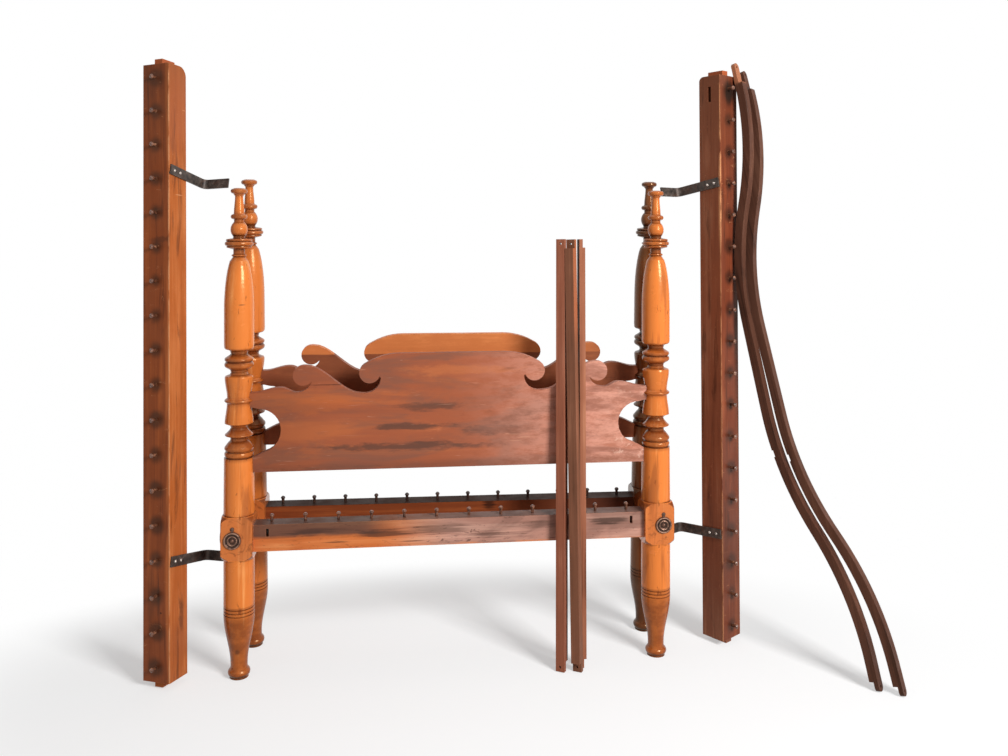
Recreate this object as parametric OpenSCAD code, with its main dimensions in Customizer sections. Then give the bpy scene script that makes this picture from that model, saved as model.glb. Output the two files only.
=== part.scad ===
// Turned field bed with rope pegs, knocked down and stood up for storage:
// the head end stands behind the foot end and leans toward it, a side rail stands
// at each side, and the canopy rails and bars lean against them.
// Units are millimetres. The origin is on the floor, on the axis of the left
// foot post. +X runs along the foot end and +Y runs from the foot end to the head end.

/* [Bed size] */
// Spacing of the two post axes of an end
end_span = 1292; // [1100:1:1500]
// Length of a side rail between its shoulders
side_rail_l = 1835; // [1730:1:2000]

/* [Posts] */
// Height of a foot post
post_h = 1474; // [1440:1:1700]
// How much taller a head post is
head_extra = 36; // [0:1:60]
// Side of the square block
block_w = 93; // [86:1:105]
// Height of the block
block_h = 130; // [112:1:150]
// Height of the middle of the block above the floor
block_z = 427; // [400:1:500]
// Diameter of the shaft at the block
shaft_d = 91; // [80:1:92]
// Diameter of the shaft at the top of its plain length
shaft_top_d = 88; // [78:1:90]
// Diameter of the necks between the turned rings
neck_d = 48; // [40:1:56]
// Diameter of the slim neck under the cap
slim_d = 24; // [20:1:30]
// Diameter of the rings and beads
ring_d = 86; // [80:1:90]
// Diameter of the thickest part of the vase
vase_d = 88; // [82:1:92]
// Diameter of the reeded disc over the vase
disc_d = 84; // [76:1:88]
// Diameter of the ankle
ankle_d = 50; // [44:1:60]
// Diameter of the ball under the ankle
foot_ball_d = 66; // [60:1:74]
// Diameter of the canopy pin hole in the top of each post
pin_hole_d = 8; // [7:0.5:10]
// Depth of the canopy pin hole
pin_hole_h = 40; // [20:1:60]

/* [End boards] */
// Thickness of an end board
board_t = 25; // [20:1:30]
// Height of the bottom edge of the foot board above the floor
board_z = 617; // [590:1:650]
// How much higher the head board sits
head_board_lift = 43; // [30:1:60]
// Depth of an end board in each post, from the post's axis
board_end = 22; // [18:1:28]

/* [End rails] */
// Height of an end rail
end_rail_h = 80; // [70:1:90]
// Thickness of an end rail
end_rail_t = 58; // [50:1:70]
// How far the middle of an end rail lies under the middle of the block
end_rail_drop = 4; // [0:1:8]
// Number of rope pegs on an end rail
end_pegs = 12; // [6:1:12]
// Distance of the last peg on an end rail from the rail's shoulder
end_peg_margin = 50.5; // [50:0.5:80]

/* [Side rails] */
// Width of the face that holds the pegs
side_rail_t = 93; // [80:1:100]
// Width of the face that holds the straps
side_rail_h = 80; // [70:1:90]
// Number of rope pegs on a side rail
side_pegs = 18; // [8:1:18]
// Distance of the last peg on a side rail from the rail's shoulder
side_peg_margin = 42; // [40:1:80]

/* [Tenons] */
// Thickness of a rail tenon
tenon_t = 28; // [22:1:34]
// Height of a rail tenon
tenon_h = 56; // [46:1:64]
// Length of a rail tenon
tenon_l = 18; // [12:1:20]
// Clearance between a side rail tenon and its mortise
tenon_gap = 1; // [0.5:0.5:2]

/* [Rope pegs] */
// Diameter of a peg's shank
peg_d = 9; // [7:0.5:11]
// Diameter of a peg's knob
knob_d = 14; // [12:0.5:16]
// How far a peg stands out of its rail
peg_out = 24; // [20:1:30]
// How deep a peg is driven into its rail
peg_in = 17; // [12:1:17]

/* [Bed bolts and covers] */
// Diameter of a bed bolt
bolt_d = 9.5; // [8:0.5:10.5]
// Diameter of a bolt hole
bolt_hole_d = 11; // [11:0.5:12]
// Diameter of the round recess for a bolt head
recess_d = 20; // [19:0.5:20.5]
// Depth of the round recess for a bolt head
recess_h = 14; // [10:1:16]
// How far each bolt hole lies above or under the middle of the block
bolt_offset = 12; // [11.5:0.5:13]
// Distance of the nut slot from the rail's shoulder to its middle
nut_reach = 41; // [36:1:46]
// Diameter of a bolt cover
cover_d = 51; // [48:1:55]
// Thickness of a bolt cover at its rim
cover_t = 6; // [4:0.5:8]
// Distance from the middle of a cover up to its nail
cover_hang = 34; // [33:0.5:38]
// How far the middle of a cover hangs under the middle of the block
cover_drop = 3; // [1:0.5:5]
// How far a cover on the front or the back of a block hangs outside the post's axis
cover_out = 12; // [8:1:12]
// Diameter of a cover's nail
nail_d = 2.8; // [2.4:0.2:3.4]

/* [Hanger straps] */
// Width of a hanger strap
strap_w = 30; // [26:1:34]
// Thickness of a hanger strap
strap_t = 5; // [4:0.5:6]
// Length of a strap across its rail and past it
strap_leg = 172; // [150:1:190]
// Length of a strap's bent foot
strap_foot = 92; // [70:1:100]
// Height of the left upper strap over the rail's lower shoulder
left_strap_high = 1508; // [1400:1:1560]
// Height of the right upper strap over the rail's lower shoulder
right_strap_high = 1484; // [1400:1:1560]
// Height of the lower straps over the rail's lower shoulder
strap_low = 346; // [280:1:400]
// Slack of the left upper strap about its first nail, in degrees
left_high_drop = 11; // [0:0.5:14]
// Slack of the left lower strap about its first nail, in degrees
left_low_drop = 8.5; // [0:0.5:14]
// Slack of the right upper strap about its first nail, in degrees
right_high_drop = 9.5; // [0:0.5:14]
// Slack of the right lower strap about its first nail, in degrees
right_low_drop = 4.5; // [0:0.5:14]

/* [Canopy] */
// Width of a canopy rail or bar
canopy_w = 28; // [24:1:32]
// Depth of a canopy rail
canopy_d = 26; // [22:1:30]
// Rise of a canopy rail from its ends to its crown
canopy_rise = 158; // [140:1:240]
// Length of the straight end of a canopy rail before its curve starts
canopy_flat = 78; // [70:1:120]
// Half the length of the straight crown of a canopy rail
canopy_crown = 144; // [80:1:200]
// Length of the lap at the upper end of a canopy rail
lap_long = 70; // [40:1:70]
// Length of the lap at the other ends
lap_short = 28; // [26:1:40]
// Width of the housing for the middle bar in a canopy rail
housing_w = 21; // [18:1:26]
// Depth of the housing for the middle bar
housing_h = 4; // [2:0.5:8]
// Height of the housing over the lower end of a canopy rail
housing_z = 690; // [500:1:900]
// Width of the middle canopy bar
thin_w = 20; // [16:1:24]
// Thickness of the middle canopy bar
thin_t = 20; // [16:1:24]
// Length of the tongues of the middle canopy bar
tongue_l = 26; // [20:1:30]

/* [Where the pieces stand] */
// How far the head end stands behind the foot end
head_back = 215; // [190:1:260]
// How far the head end stands to the right of the foot end
head_right = 10; // [0:1:20]
// Turn of the head end in degrees
head_turn = -1.2; // [-2:0.1:0]
// Lean of the head end toward the foot end in degrees
head_lean = 3.2; // [1:0.1:3.5]
// Near lower edge of the left side rail, from the left foot post
left_rail_x = -184; // [-220:1:-180]
// Near lower edge of the left side rail, from the axes of the foot posts
left_rail_y = -78; // [-90:1:-60]
// Turn of the left side rail in degrees
left_rail_turn = 65; // [60:1:70]
// Lean of the left side rail in degrees, to the back
left_rail_lean = 3.3; // [0:0.1:4]
// Tilt of the left side rail in degrees, to the left
left_rail_tilt = 0.9; // [0:0.1:2]
// Near lower edge of the right side rail, from the right foot post
right_rail_x = 229; // [225:1:260]
// Near lower edge of the right side rail, from the axes of the foot posts
right_rail_y = 17; // [15:1:60]
// Turn of the right side rail in degrees
right_rail_turn = 124.5; // [120:0.5:130]

/* [Hidden] */
$fn = 64;

half_block = block_w / 2;
block_bottom = block_z - block_h / 2;
block_top = block_z + block_h / 2;
shaft_r = shaft_d / 2;
shaft_top_r = shaft_top_d / 2;
neck_r = neck_d / 2;
slim_r = slim_d / 2;
ring_r = ring_d / 2;
vase_r = vase_d / 2;
disc_r = disc_d / 2;
ankle_r = ankle_d / 2;
end_rail_z = block_z - end_rail_drop;
end_rail_l = end_span - block_w;
end_bolt_z = block_z + bolt_offset;
side_bolt_z = block_z - bolt_offset;
nail_z = block_z - cover_drop + cover_hang;
cover_gap = 0.3;
through = 1;

// Smooth rise from 0 to 1, level at both ends
function ease(t) = t * t * (3 - 2 * t);
// Points of an arc about a centre, from one angle to another
function arc(c, r, a, b, n = 8) =
    [for (i = [0:n]) let (g = a + (b - a) * i / n) [c[0] + r * cos(g), c[1] + r * sin(g)]];
// Points of a curve that leaves p and reaches q level
function wave(p, q, n = 8) =
    [for (i = [0:n]) let (t = i / n) [p[0] + (q[0] - p[0]) * t, p[1] + (q[1] - p[1]) * ease(t)]];
// Points of an upright curve between the radii of p and q, plumb at both ends
function swell(p, q, n = 8) =
    [for (i = [0:n]) let (t = i / n) [p[0] + (q[0] - p[0]) * ease(t), p[1] + (q[1] - p[1]) * t]];
// Points of a half round bead of radius r and height h about the height z
function bead(r, z, h) = arc([r - h / 2, z], h / 2, -90, 90, 6);
// Points of a flatter rounding of radius r and height h that drops by d to its two edges
function crown(r, z, h, d, n = 6) = let (c = (h * h / 4 + d * d) / (2 * d), a = asin(h / 2 / c))
    arc([r - c, z], c, -a, a, n);
function flip(points) = [for (i = [len(points) - 1:-1:0]) [-points[i][0], points[i][1]]];

// ---- Turned posts ----

// Heights of the turnings above the plain shaft are measured down from the top
function lower_turning() = concat(
    [[0, 0], [foot_ball_d / 2 - 5, 0]],
    arc([foot_ball_d / 2 - 13, 16], 13, -60, 60, 6),
    [[ankle_r, 34]],
    swell([ankle_r, 42], [shaft_r, 188], 12),
    groove(194), groove(204), groove(214)
);
function groove(z) = [[shaft_r, z - 2], [shaft_r - 2, z - 1], [shaft_r - 2, z + 1], [shaft_r, z + 2]];
function vase_curve(top) = [for (i = [0:12])
    let (t = i / 12)
    [slim_r + 6 + (vase_r - slim_r - 6) * sqrt(cos(90 * t)), top - 367 + 160 * t]];
function upper_turning(top) = concat(
    // Two rings on the end of the plain shaft, with a cove up to a neck
    [[shaft_r, block_top], [shaft_top_r, top - 812], [ring_r - 4, top - 810.5], [ring_r - 4, top - 809]],
    crown(ring_r, top - 801, 14, 2.5),
    [[ring_r - 5, top - 793], [ring_r - 5, top - 791]],
    crown(ring_r, top - 783, 13, 3),
    [[ring_r - 10, top - 767], [neck_r + 2, top - 760], [neck_r + 1, top - 753], [neck_r + 8, top - 748]],
    crown(ring_r - 1.5, top - 743, 6, 2.5),
    // A pair of urns, foot to foot, with a thin ring between them
    [[ring_r - 11, top - 733], [neck_r + 3, top - 727], [neck_r, top - 721], [neck_r + 3, top - 715]],
    swell([ring_r - 1, top - 708], [ring_r - 7.5, top - 648], 6),
    crown(ring_r, top - 640, 9, 4),
    swell([ring_r - 8, top - 631], [ring_r - 1, top - 571], 6),
    [[ring_r - 3, top - 566], [neck_r + 3, top - 561], [neck_r, top - 555], [neck_r + 2, top - 548]],
    crown(ring_r, top - 532, 15, 3.5),
    [[ring_r - 5, top - 523.5], [ring_r - 5, top - 522.5]],
    crown(ring_r - 0.5, top - 516, 12, 3.5),
    [[neck_r + 4, top - 503], [neck_r, top - 499], [neck_r + 2, top - 492], [neck_r + 6, top - 488]],
    // The vase, a bead on its lip, the reeded disc and the ball
    [[vase_r - 4, top - 485], [vase_r - 1, top - 481], [vase_r, top - 472]],
    vase_curve(top),
    bead(22, top - 203, 7),
    [[slim_r + 5, top - 198], [slim_r + 5, top - 185], [disc_r - 13, top - 181.5]],
    crown(disc_r - 5, top - 177, 6, 2),
    crown(disc_r, top - 167.5, 12, 3.5),
    crown(disc_r - 3.5, top - 157, 7, 2.5),
    [[disc_r - 9, top - 153], [slim_r + 5.5, top - 150]],
    crown(25.2, top - 125, 41, 7.7, 8),
    [[slim_r + 3, top - 102], [slim_r + 3, top - 95]],
    bead(24.8, top - 86, 15),
    swell([slim_r + 3.5, top - 76], [slim_r, top - 24], 5),
    bead(25, top - 9, 15),
    [[15, top], [0, top]]
);

// The square block, with the round shoulders that the lathe leaves at its ends
module block() {
    corner_r = half_block * sqrt(2) + 1;
    shoulder_r = half_block + 5;
    intersection() {
        translate([0, 0, block_z]) cube([block_w, block_w, block_h], center = true);
        rotate_extrude() polygon(concat(
            [[0, block_bottom], [shoulder_r, block_bottom]],
            arc([corner_r - 26, block_bottom + 26], 26, -50, 0, 5),
            arc([corner_r - 26, block_top - 26], 26, 0, 50, 5),
            [[shoulder_r, block_top], [0, block_top]]
        ));
    }
}

// A post on its own axis. side is -1 for a left post and 1 for a right one,
// and its outer face looks to -Y.
module post(side, extra, board_lift) {
    top = post_h + extra;
    difference() {
        union() {
            rotate_extrude() polygon(concat(lower_turning(), upper_turning(top)));
            block();
        }
        translate([0, 0, top - pin_hole_h]) cylinder(d = pin_hole_d, h = pin_hole_h + through);
        // Slots that hold the two ears of the end board
        for (ear = ears())
            translate([side > 0 ? -vase_r - 5 : board_end, -board_t / 2, board_z + board_lift + ear[0]])
                cube([vase_r + 5 - board_end, board_t, ear[1] - ear[0]]);
        // Mortise of the end rail, on the side that faces the other post
        translate([-side * (half_block - tenon_l / 2), 0, end_rail_z])
            cube([tenon_l, tenon_t, tenon_h], center = true);
        // Mortise of the side rail, on the inner face
        translate([0, half_block - mortise_l / 2, side_bolt_z])
            cube([tenon_t + 2 * tenon_gap, mortise_l, tenon_h + 2 * tenon_gap], center = true);
        translate([side * half_block, 0, end_bolt_z]) rotate([0, -side * 90, 0]) bolt_bore();
        translate([0, -half_block, side_bolt_z]) rotate([-90, 0, 0]) bolt_bore();
        on_front(side) cylinder(d = nail_d, h = 2 * nail_depth, center = true, $fn = 24);
        on_side(side) cylinder(d = nail_d, h = 2 * nail_depth, center = true, $fn = 24);
    }
}
nail_depth = 16;
mortise_l = tenon_l + tenon_gap;

// The hole of a bed bolt, drilled up from the face of the block along +Z
module bolt_bore() {
    translate([0, 0, -through]) cylinder(d = bolt_hole_d, h = block_w + 2 * through);
    translate([0, 0, -through]) cylinder(d = recess_d, h = recess_h + through);
}

// ---- End boards ----

// Lower and upper ear of a board's end, as heights over its bottom edge
function ears() = [[0, 45], [195, 240]];

// Left half of the outline, from the middle of the bottom edge round to the crest.
// Each point is measured from the middle of the board and from its bottom edge.
function half_board() = let (
    end = -(end_span / 2 - board_end),
    bay = -(end_span / 2 - 59)
) concat(
    [[end, 0], [end, ears()[0][1]], [bay - 16, ears()[0][1]]],
    arc([bay, 125], 66, -75, 90, 14),
    [[bay - 16, ears()[1][0]], [end, ears()[1][0]], [end, ears()[1][1]]],
    wave([bay - 14, 240], [bay + 59, 254], 6),
    wave([bay + 67, 254], [bay + 109, 239], 5),
    arc([bay + 114, 286], 47, -84, -20, 6),
    arc([bay + 132, 289], 31, -40, -270, 14),
    wave([bay + 140, 320], [bay + 304, 233], 10),
    arc([bay + 317, 281], 49, -98, -4, 8),
    arc([bay + 332, 294], 32, -20, -236, 14),
    arc([bay + 424, 154], 199, 120, 90, 6)
);
module board_blank() {
    rotate([90, 0, 0]) linear_extrude(board_t, center = true)
        polygon(concat(half_board(), flip(half_board())));
}

// ---- Rails, bolts and nuts ----

module tenon(length) {
    translate([length / 2, 0, 0]) cube([length, tenon_t, tenon_h], center = true);
}

// An end rail along +X from its left shoulder, with its middle at the height 0
module end_rail() {
    difference() {
        union() {
            translate([end_rail_l / 2, 0, 0]) cube([end_rail_l, end_rail_t, end_rail_h], center = true);
            mirror([1, 0, 0]) tenon(tenon_l);
            translate([end_rail_l, 0, 0]) tenon(tenon_l);
        }
        for (x = end_peg_places())
            translate([x, 0, end_rail_h / 2 - peg_in]) cylinder(d = peg_d, h = peg_in + through);
        for (end = [0, 1])
            translate([end * end_rail_l, 0, 0]) mirror([end, 0, 0]) end_bolt_way();
    }
}
nut_slot_w = 9;
nut_slot_h = 24;
nut_w = 19;
bolt_rise = end_bolt_z - end_rail_z;
module end_bolt_way() {
    translate([-tenon_l - through, 0, bolt_rise]) rotate([0, 90, 0])
        cylinder(d = bolt_hole_d, h = tenon_l + nut_reach + 20);
    translate([nut_reach - nut_slot_w / 2, -end_rail_t / 2 - through, bolt_rise - nut_slot_h / 2])
        cube([nut_slot_w, end_rail_t / 2 + nut_w / 2 + 2 + through, nut_slot_h]);
}
// Even places of pegs along a rail, between its two margins
function peg_places(length, pegs, margin) = [for (i = [0:pegs - 1])
    margin + i * (length - 2 * margin) / (pegs - 1)];
function end_peg_places() = peg_places(end_rail_l, end_pegs, end_peg_margin);

// A turned peg along +Z, with the rail's face at the height 0
module peg() {
    shank = peg_d / 2;
    knob = knob_d / 2;
    rotate_extrude($fn = 24) polygon(concat(
        [[0, -peg_in], [shank, -peg_in], [shank, peg_out - 1.6 * knob]],
        arc([knob - 4, peg_out - 5], 4, -60, 60, 4),
        [[knob / 2, peg_out], [0, peg_out]]
    ));
}

// A bed bolt along +Z, with the underside of its head at the height 0
module bed_bolt() {
    shank = block_w - recess_h + nut_reach + nut_slot_w / 2 + 8;
    cylinder(d = bolt_d, h = shank, $fn = 32);
    translate([0, 0, -7]) linear_extrude(7) square(13, center = true);
    translate([0, 0, -1.5]) cylinder(d = 18, h = 1.5);
}
module end_bolts() {
    for (side = [0, 1])
        translate([side * end_span, 0, end_bolt_z]) mirror([side, 0, 0])
            translate([-half_block + recess_h, 0, 0]) rotate([0, 90, 0]) bed_bolt();
}
module end_nuts() {
    for (side = [0, 1])
        translate([side * end_span, 0, end_bolt_z]) mirror([side, 0, 0])
            translate([half_block + nut_reach - 0.5, 0, 0]) difference() {
                cube([nut_slot_w - 1, nut_w, nut_w], center = true);
                rotate([0, 90, 0]) cylinder(d = bolt_d, h = nut_slot_w + 2, center = true, $fn = 32);
            }
}

// ---- Bolt covers ----

// A cover on its nail: the nail's axis is Z, the cover hangs to -Y and shows its face to +Z
module cover() {
    rim = cover_d / 2;
    difference() {
        union() {
            translate([0, -cover_hang, 0]) rotate_extrude() polygon(concat(
                [[0, 0], [rim, 0], [rim, 1.5]],
                arc([rim - 3, cover_t - 3], 3, 0, 150, 5),
                [[rim - 7, 3], [rim - 10, 3]],
                arc([rim - 12, 3], 2, 0, 180, 4),
                [[rim - 15.5, 2.2], [7, 2.6]],
                arc([0, 0.5], 7, 30, 90, 4)
            ));
            cylinder(r = 5.5, h = 1.8);
            translate([-3.5, -cover_hang + rim - 2, 0]) cube([7, cover_hang - rim + 2, 1.8]);
        }
        translate([0, 0, -through]) cylinder(d = nail_d + 0.1, h = 4, $fn = 24);
    }
}
// A nail along Z, with the face of the block at the height 0
module nail() {
    head_z = cover_gap + 2.2;
    translate([0, 0, -nail_depth]) cylinder(d = nail_d, h = nail_depth + head_z, $fn = 24);
    translate([0, 0, head_z]) cylinder(d1 = 6.4, d2 = 3.4, h = 1.8, $fn = 24);
}
// Where things hang on the face of a block that looks to -Y and on its outer side
module on_front(side) {
    translate([side * cover_out, -half_block, nail_z]) rotate([90, 0, 0]) children();
}
module on_side(side) {
    translate([side * half_block, 0, nail_z]) rotate([90, 0, side * 90]) children();
}

// ---- Side rails ----

// A side rail along +Z from its lower shoulder. Its near edge is on the Z axis: the peg face
// runs to -X with its pegs to -Y, and the strap face runs to +Y and looks to +X.
// worn is the radius of the rounded far corner at the top, and slots holds the sides
// that the nut slots open to at the lower and the upper end: 1 is the strap face.
module side_rail(high, high_drop, low_drop, worn, slots) {
    difference() {
        union() {
            difference() {
                translate([-side_rail_t, 0, 0]) cube([side_rail_t, side_rail_h, side_rail_l]);
                translate([-side_rail_t - through, side_rail_h - worn, side_rail_l - worn]) difference() {
                    cube([side_rail_t + 2 * through, worn + through, worn + through]);
                    rotate([0, 90, 0]) cylinder(r = worn, h = side_rail_t + 2 * through);
                }
            }
            for (end = [0, 1])
                rail_end(end) translate([-tenon_t / 2, -tenon_h / 2, -worn / 2])
                    cube([tenon_t, tenon_h, tenon_l + worn / 2]);
        }
        for (z = side_peg_places())
            translate([-side_rail_t / 2, peg_in, z]) rotate([90, 0, 0])
                cylinder(d = peg_d, h = peg_in + through);
        for (end = [0, 1]) rail_end(end) side_bolt_way(slots[end]);
        for (place = concat(strap_nail_places(high, high_drop), strap_nail_places(strap_low, low_drop)))
            translate([through, place[0], place[1]]) rotate([0, -90, 0])
                cylinder(d = strap_nail_d, h = strap_nail_in + through, $fn = 24);
    }
}
// The frame of a side rail's end: its middle at the tenon, with +Z out of the rail
module rail_end(end) {
    translate([-side_rail_t / 2, side_rail_h / 2, end * side_rail_l])
        mirror([0, 0, 1 - end]) children();
}
side_slot_l = 50;
side_slot_w = 12;
side_slot_reach = 60;
// The bolt hole into the end of a side rail, and the slot for its nut
module side_bolt_way(face) {
    bottom = side_slot_reach + side_slot_l / 2;
    translate([0, 0, -bottom - 10]) cylinder(d = bolt_hole_d, h = bottom + 10 + tenon_l + through);
    mirror([(1 - face) / 2, 0, 0]) translate([-10, -side_slot_w / 2, -bottom])
        cube([side_rail_t / 2 + 10 + through, side_slot_w, side_slot_l]);
}
function side_peg_places() = peg_places(side_rail_l, side_pegs, side_peg_margin);
module side_pegs() {
    for (z = side_peg_places())
        translate([-side_rail_t / 2, 0, z]) rotate([90, 0, 0]) peg();
}

// ---- Hanger straps ----

strap_nail_d = 4;
strap_nail_in = 18;
strap_inset = 4;
strap_bend_r = 18;
strap_nail_y = 22;
strap_nail_pitch = 26;
// Places of a strap's two nails on the strap face, as distance from the near edge and height
function strap_nail_places(z, drop) = [for (i = [0, 1])
    [strap_nail_y + i * strap_nail_pitch * cos(drop), z - i * strap_nail_pitch * sin(drop)]];
// A strap on the strap face: it runs to +Y past the rail and its foot turns to +X
module strap(z, drop) {
    translate([0, strap_nail_y, z]) rotate([-drop, 0, 0]) translate([0, -strap_nail_y, 0])
        difference() {
            translate([0, 0, -strap_w / 2]) linear_extrude(strap_w) polygon(concat(
                [[0, strap_inset]],
                arc([strap_bend_r, strap_leg - strap_bend_r], strap_bend_r, 180, 90, 6),
                [[strap_foot, strap_leg], [strap_foot, strap_leg - strap_t]],
                arc([strap_bend_r, strap_leg - strap_bend_r], strap_bend_r - strap_t, 90, 180, 6),
                [[strap_t, strap_inset]]
            ));
            for (i = [0, 1])
                translate([-through, strap_nail_y + i * strap_nail_pitch, 0]) rotate([0, 90, 0])
                    cylinder(d = strap_nail_d, h = strap_t + 2 * through, $fn = 24);
        }
}
// The two nails of a strap, with domed heads
module strap_nails(z, drop) {
    for (place = strap_nail_places(z, drop))
        translate([0, place[0], place[1]]) rotate([0, 90, 0]) {
            translate([0, 0, -strap_nail_in])
                cylinder(d = strap_nail_d, h = strap_nail_in + strap_t + 0.5, $fn = 24);
            translate([0, 0, strap_t]) rotate_extrude($fn = 24)
                polygon(concat([[0, 0]], arc([0, -2.2], 5, 26, 90, 5)));
        }
}

// ---- Canopy ----

canopy_end = canopy_w / 2;
canopy_rail_l = side_rail_l + block_w + 2 * canopy_end;
canopy_bar_l = end_span + 2 * canopy_end;

// Offset of the middle line of a canopy rail at the height z over its lower end
function canopy_line(z) = let (
    run = (canopy_rail_l / 2 - canopy_crown - canopy_flat) / 2,
    r = (run * run + canopy_rise * canopy_rise / 4) / canopy_rise,
    d = min(z, canopy_rail_l - z) - canopy_flat
) d <= 0 ? 0
    : d < run ? r - sqrt(r * r - d * d)
    : d < 2 * run ? canopy_rise - r + sqrt(r * r - pow(2 * run - d, 2))
    : canopy_rise;
function canopy_slope(z) = atan((canopy_line(z + 1) - canopy_line(z - 1)) / 2);
// One long edge of a canopy rail, with side -1 for the hollow one and 1 for the full one
function canopy_edge(side) = [for (i = [0:72])
    let (
        z = canopy_flat / 2 + (canopy_rail_l - canopy_flat) * i / 72,
        a = canopy_slope(z)
    )
    [canopy_line(z) + side * canopy_d / 2 * cos(a), z - side * canopy_d / 2 * sin(a)]];
function backwards(points) = [for (i = [len(points) - 1:-1:0]) points[i]];

// A canopy rail from its lower end up +Z: it bows to +X and is canopy_w thick along Y
module canopy_rail() {
    half = canopy_d / 2;
    difference() {
        intersection() {
            rotate([90, 0, 0]) linear_extrude(canopy_w, center = true) polygon(concat(
                [[-half, 0]], canopy_edge(-1), [[-half, canopy_rail_l], [half, canopy_rail_l]],
                backwards(canopy_edge(1)), [[half, 0]]
            ));
            round_ended(canopy_w, canopy_rail_l, canopy_rise + canopy_d);
        }
        for (z = [canopy_end, canopy_rail_l - canopy_end])
            translate([0, 0, z]) rotate([0, 90, 0])
                cylinder(d = pin_hole_d, h = canopy_d + 2 * through, center = true, $fn = 32);
        // Laps: the hollow side is cut at the upper end and the full side at the lower end
        translate([-canopy_d, -canopy_w, canopy_rail_l - lap_long])
            cube([canopy_d, 2 * canopy_w, lap_long + through]);
        translate([0, -canopy_w, -through]) cube([canopy_d, 2 * canopy_w, lap_short + through]);
        translate([canopy_line(housing_z) + half - housing_h, -canopy_w, housing_z]) rotate([0, housing_a, 0])
            cube([canopy_d, 2 * canopy_w, housing_w]);
    }
}
housing_a = canopy_slope(housing_z);
// A block along Z with half round ends, seen from +X
module round_ended(w, l, depth) {
    translate([-depth, -w / 2, w / 2]) cube([2 * depth, w, l - w]);
    for (z = [w / 2, l - w / 2])
        translate([0, 0, z]) rotate([0, 90, 0]) cylinder(d = w, h = 2 * depth, center = true);
}
// A canopy bar from its lower end up +Z, lapped on its front or its back.
// upper and lower are -1 for a lap cut into the front (-Y) and 1 for the back.
module canopy_bar(upper, lower) {
    half = canopy_w / 2;
    difference() {
        translate([-half, -half, 0]) cube([canopy_w, canopy_w, canopy_bar_l]);
        translate([-canopy_w, upper < 0 ? -canopy_w : 0, canopy_bar_l - lap_short])
            cube([2 * canopy_w, canopy_w, lap_short + through]);
        translate([-canopy_w, lower < 0 ? -canopy_w : 0, -through])
            cube([2 * canopy_w, canopy_w, lap_short + through]);
        for (z = [canopy_end, canopy_bar_l - canopy_end])
            translate([0, 0, z]) rotate([90, 0, 0])
                cylinder(d = pin_hole_d, h = canopy_w + 2 * through, center = true, $fn = 32);
    }
}
// The middle bar, with a thin tongue at each end
module thin_bar() {
    thick = thin_t / 2;
    translate([-thin_w / 2, -thick, tongue_l]) cube([thin_w, thin_t, canopy_bar_l - 2 * tongue_l]);
    for (z = [0, canopy_bar_l - tongue_l])
        translate([-thin_w / 2, -thick, z]) cube([thin_w * 0.6, thin_t, tongue_l]);
}

// ---- Places ----

// The head end stands on the front edges of its feet
module at_head() {
    translate([head_right, head_back, (foot_ball_d / 2 - 5) * sin(head_lean)])
        rotate([0, 0, head_turn]) rotate([head_lean, 0, 0]) mirror([0, 1, 0]) children();
}
// The frames of the side rails, which stand on their lower tenons
module at_left_rail() {
    turn = 90 - left_rail_turn;
    a = left_rail_lean;
    b = left_rail_tilt;
    // Lowest corner of the leaning tenon, from the near edge: one runs back, the other to the left
    far = [(side_rail_t - tenon_t) / 2, (side_rail_t + tenon_t) / 2];
    back = (side_rail_h + tenon_h) / 2;
    drop = max([for (x = far) (x * sin(turn) + back * cos(turn)) * sin(a) * cos(b)
        + (x * cos(turn) - back * sin(turn)) * sin(b)]);
    translate([left_rail_x, left_rail_y, tenon_l * cos(a) * cos(b) + drop])
        rotate([-a, -b, 0]) rotate([0, 0, -turn]) children();
}
module at_right_rail() {
    turn = right_rail_turn - 90;
    near = [(side_rail_t - tenon_t) / 2, (side_rail_h + tenon_h) / 2];
    translate([end_span + right_rail_x, right_rail_y,
        tenon_l * cos(right_rail_tilt) + (near[1] * sin(turn) - near[0] * cos(turn)) * sin(right_rail_tilt)])
        rotate([0, -right_rail_tilt, 0]) rotate([0, 0, turn]) mirror([1, 0, 0]) children();
}
right_rail_tilt = 0.4;
// Each canopy rail: the place under its upper end, which rests on the side rail or on the
// other canopy rail, its lean as turns about X and Y, and its own turn
inner_rail_top = [288.87, 62.87];
inner_rail_lean = [-10.82, -8.65];
inner_rail_turn = 131;
outer_rail_top = [333.37, 103.44];
outer_rail_lean = [-13.08, -9];
outer_rail_turn = 135.1;
// Each bar: where its foot stands, its lean and its turn
left_bar_foot = [-317.2, -76.6];
left_bar_lean = [-2.91, 0.55];
right_bar_foot = [-272.2, -92.6];
right_bar_lean = [-2.91, -0.36];
bar_turn = -32;
middle_bar_foot = [-249.2, -60.1];
middle_bar_lean = [-2.22, 0.26];
middle_bar_turn = 8;

// Lift that sets the lowest corner of a leaning square foot of width w on the floor
function square_lift(w, lean) = w * 0.7 * (sin(abs(lean[0])) + sin(abs(lean[1])));
// Lift that sets the round lower end of a canopy rail on the floor
function round_lift(lean, turn) = let (
    a = lean[0],
    b = lean[1],
    out = cos(b) * sin(a) * sin(turn) - sin(b) * cos(turn),
    along = cos(b) * sin(a) * cos(turn) + sin(b) * sin(turn),
    up = cos(a) * cos(b)
) canopy_end * (norm([along, up]) - up) + max(0, out) * canopy_d / 2;
// Foot of a leaning piece of this length whose upper end is over the place top
function foot_under(top, lean, length) =
    [top[0] - length * cos(lean[0]) * sin(lean[1]), top[1] + length * sin(lean[0])];
module stand(foot, lean, turn, lift) {
    translate([end_span + foot[0], foot[1], lift]) rotate([lean[0], lean[1], 0]) rotate([0, 0, turn])
        children();
}

wood = "#c07a3c";
dark_wood = "#8a5238";
canopy_wood = "#6b5040";
iron = "#4a4340";
bronze = "#5a4638";

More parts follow.
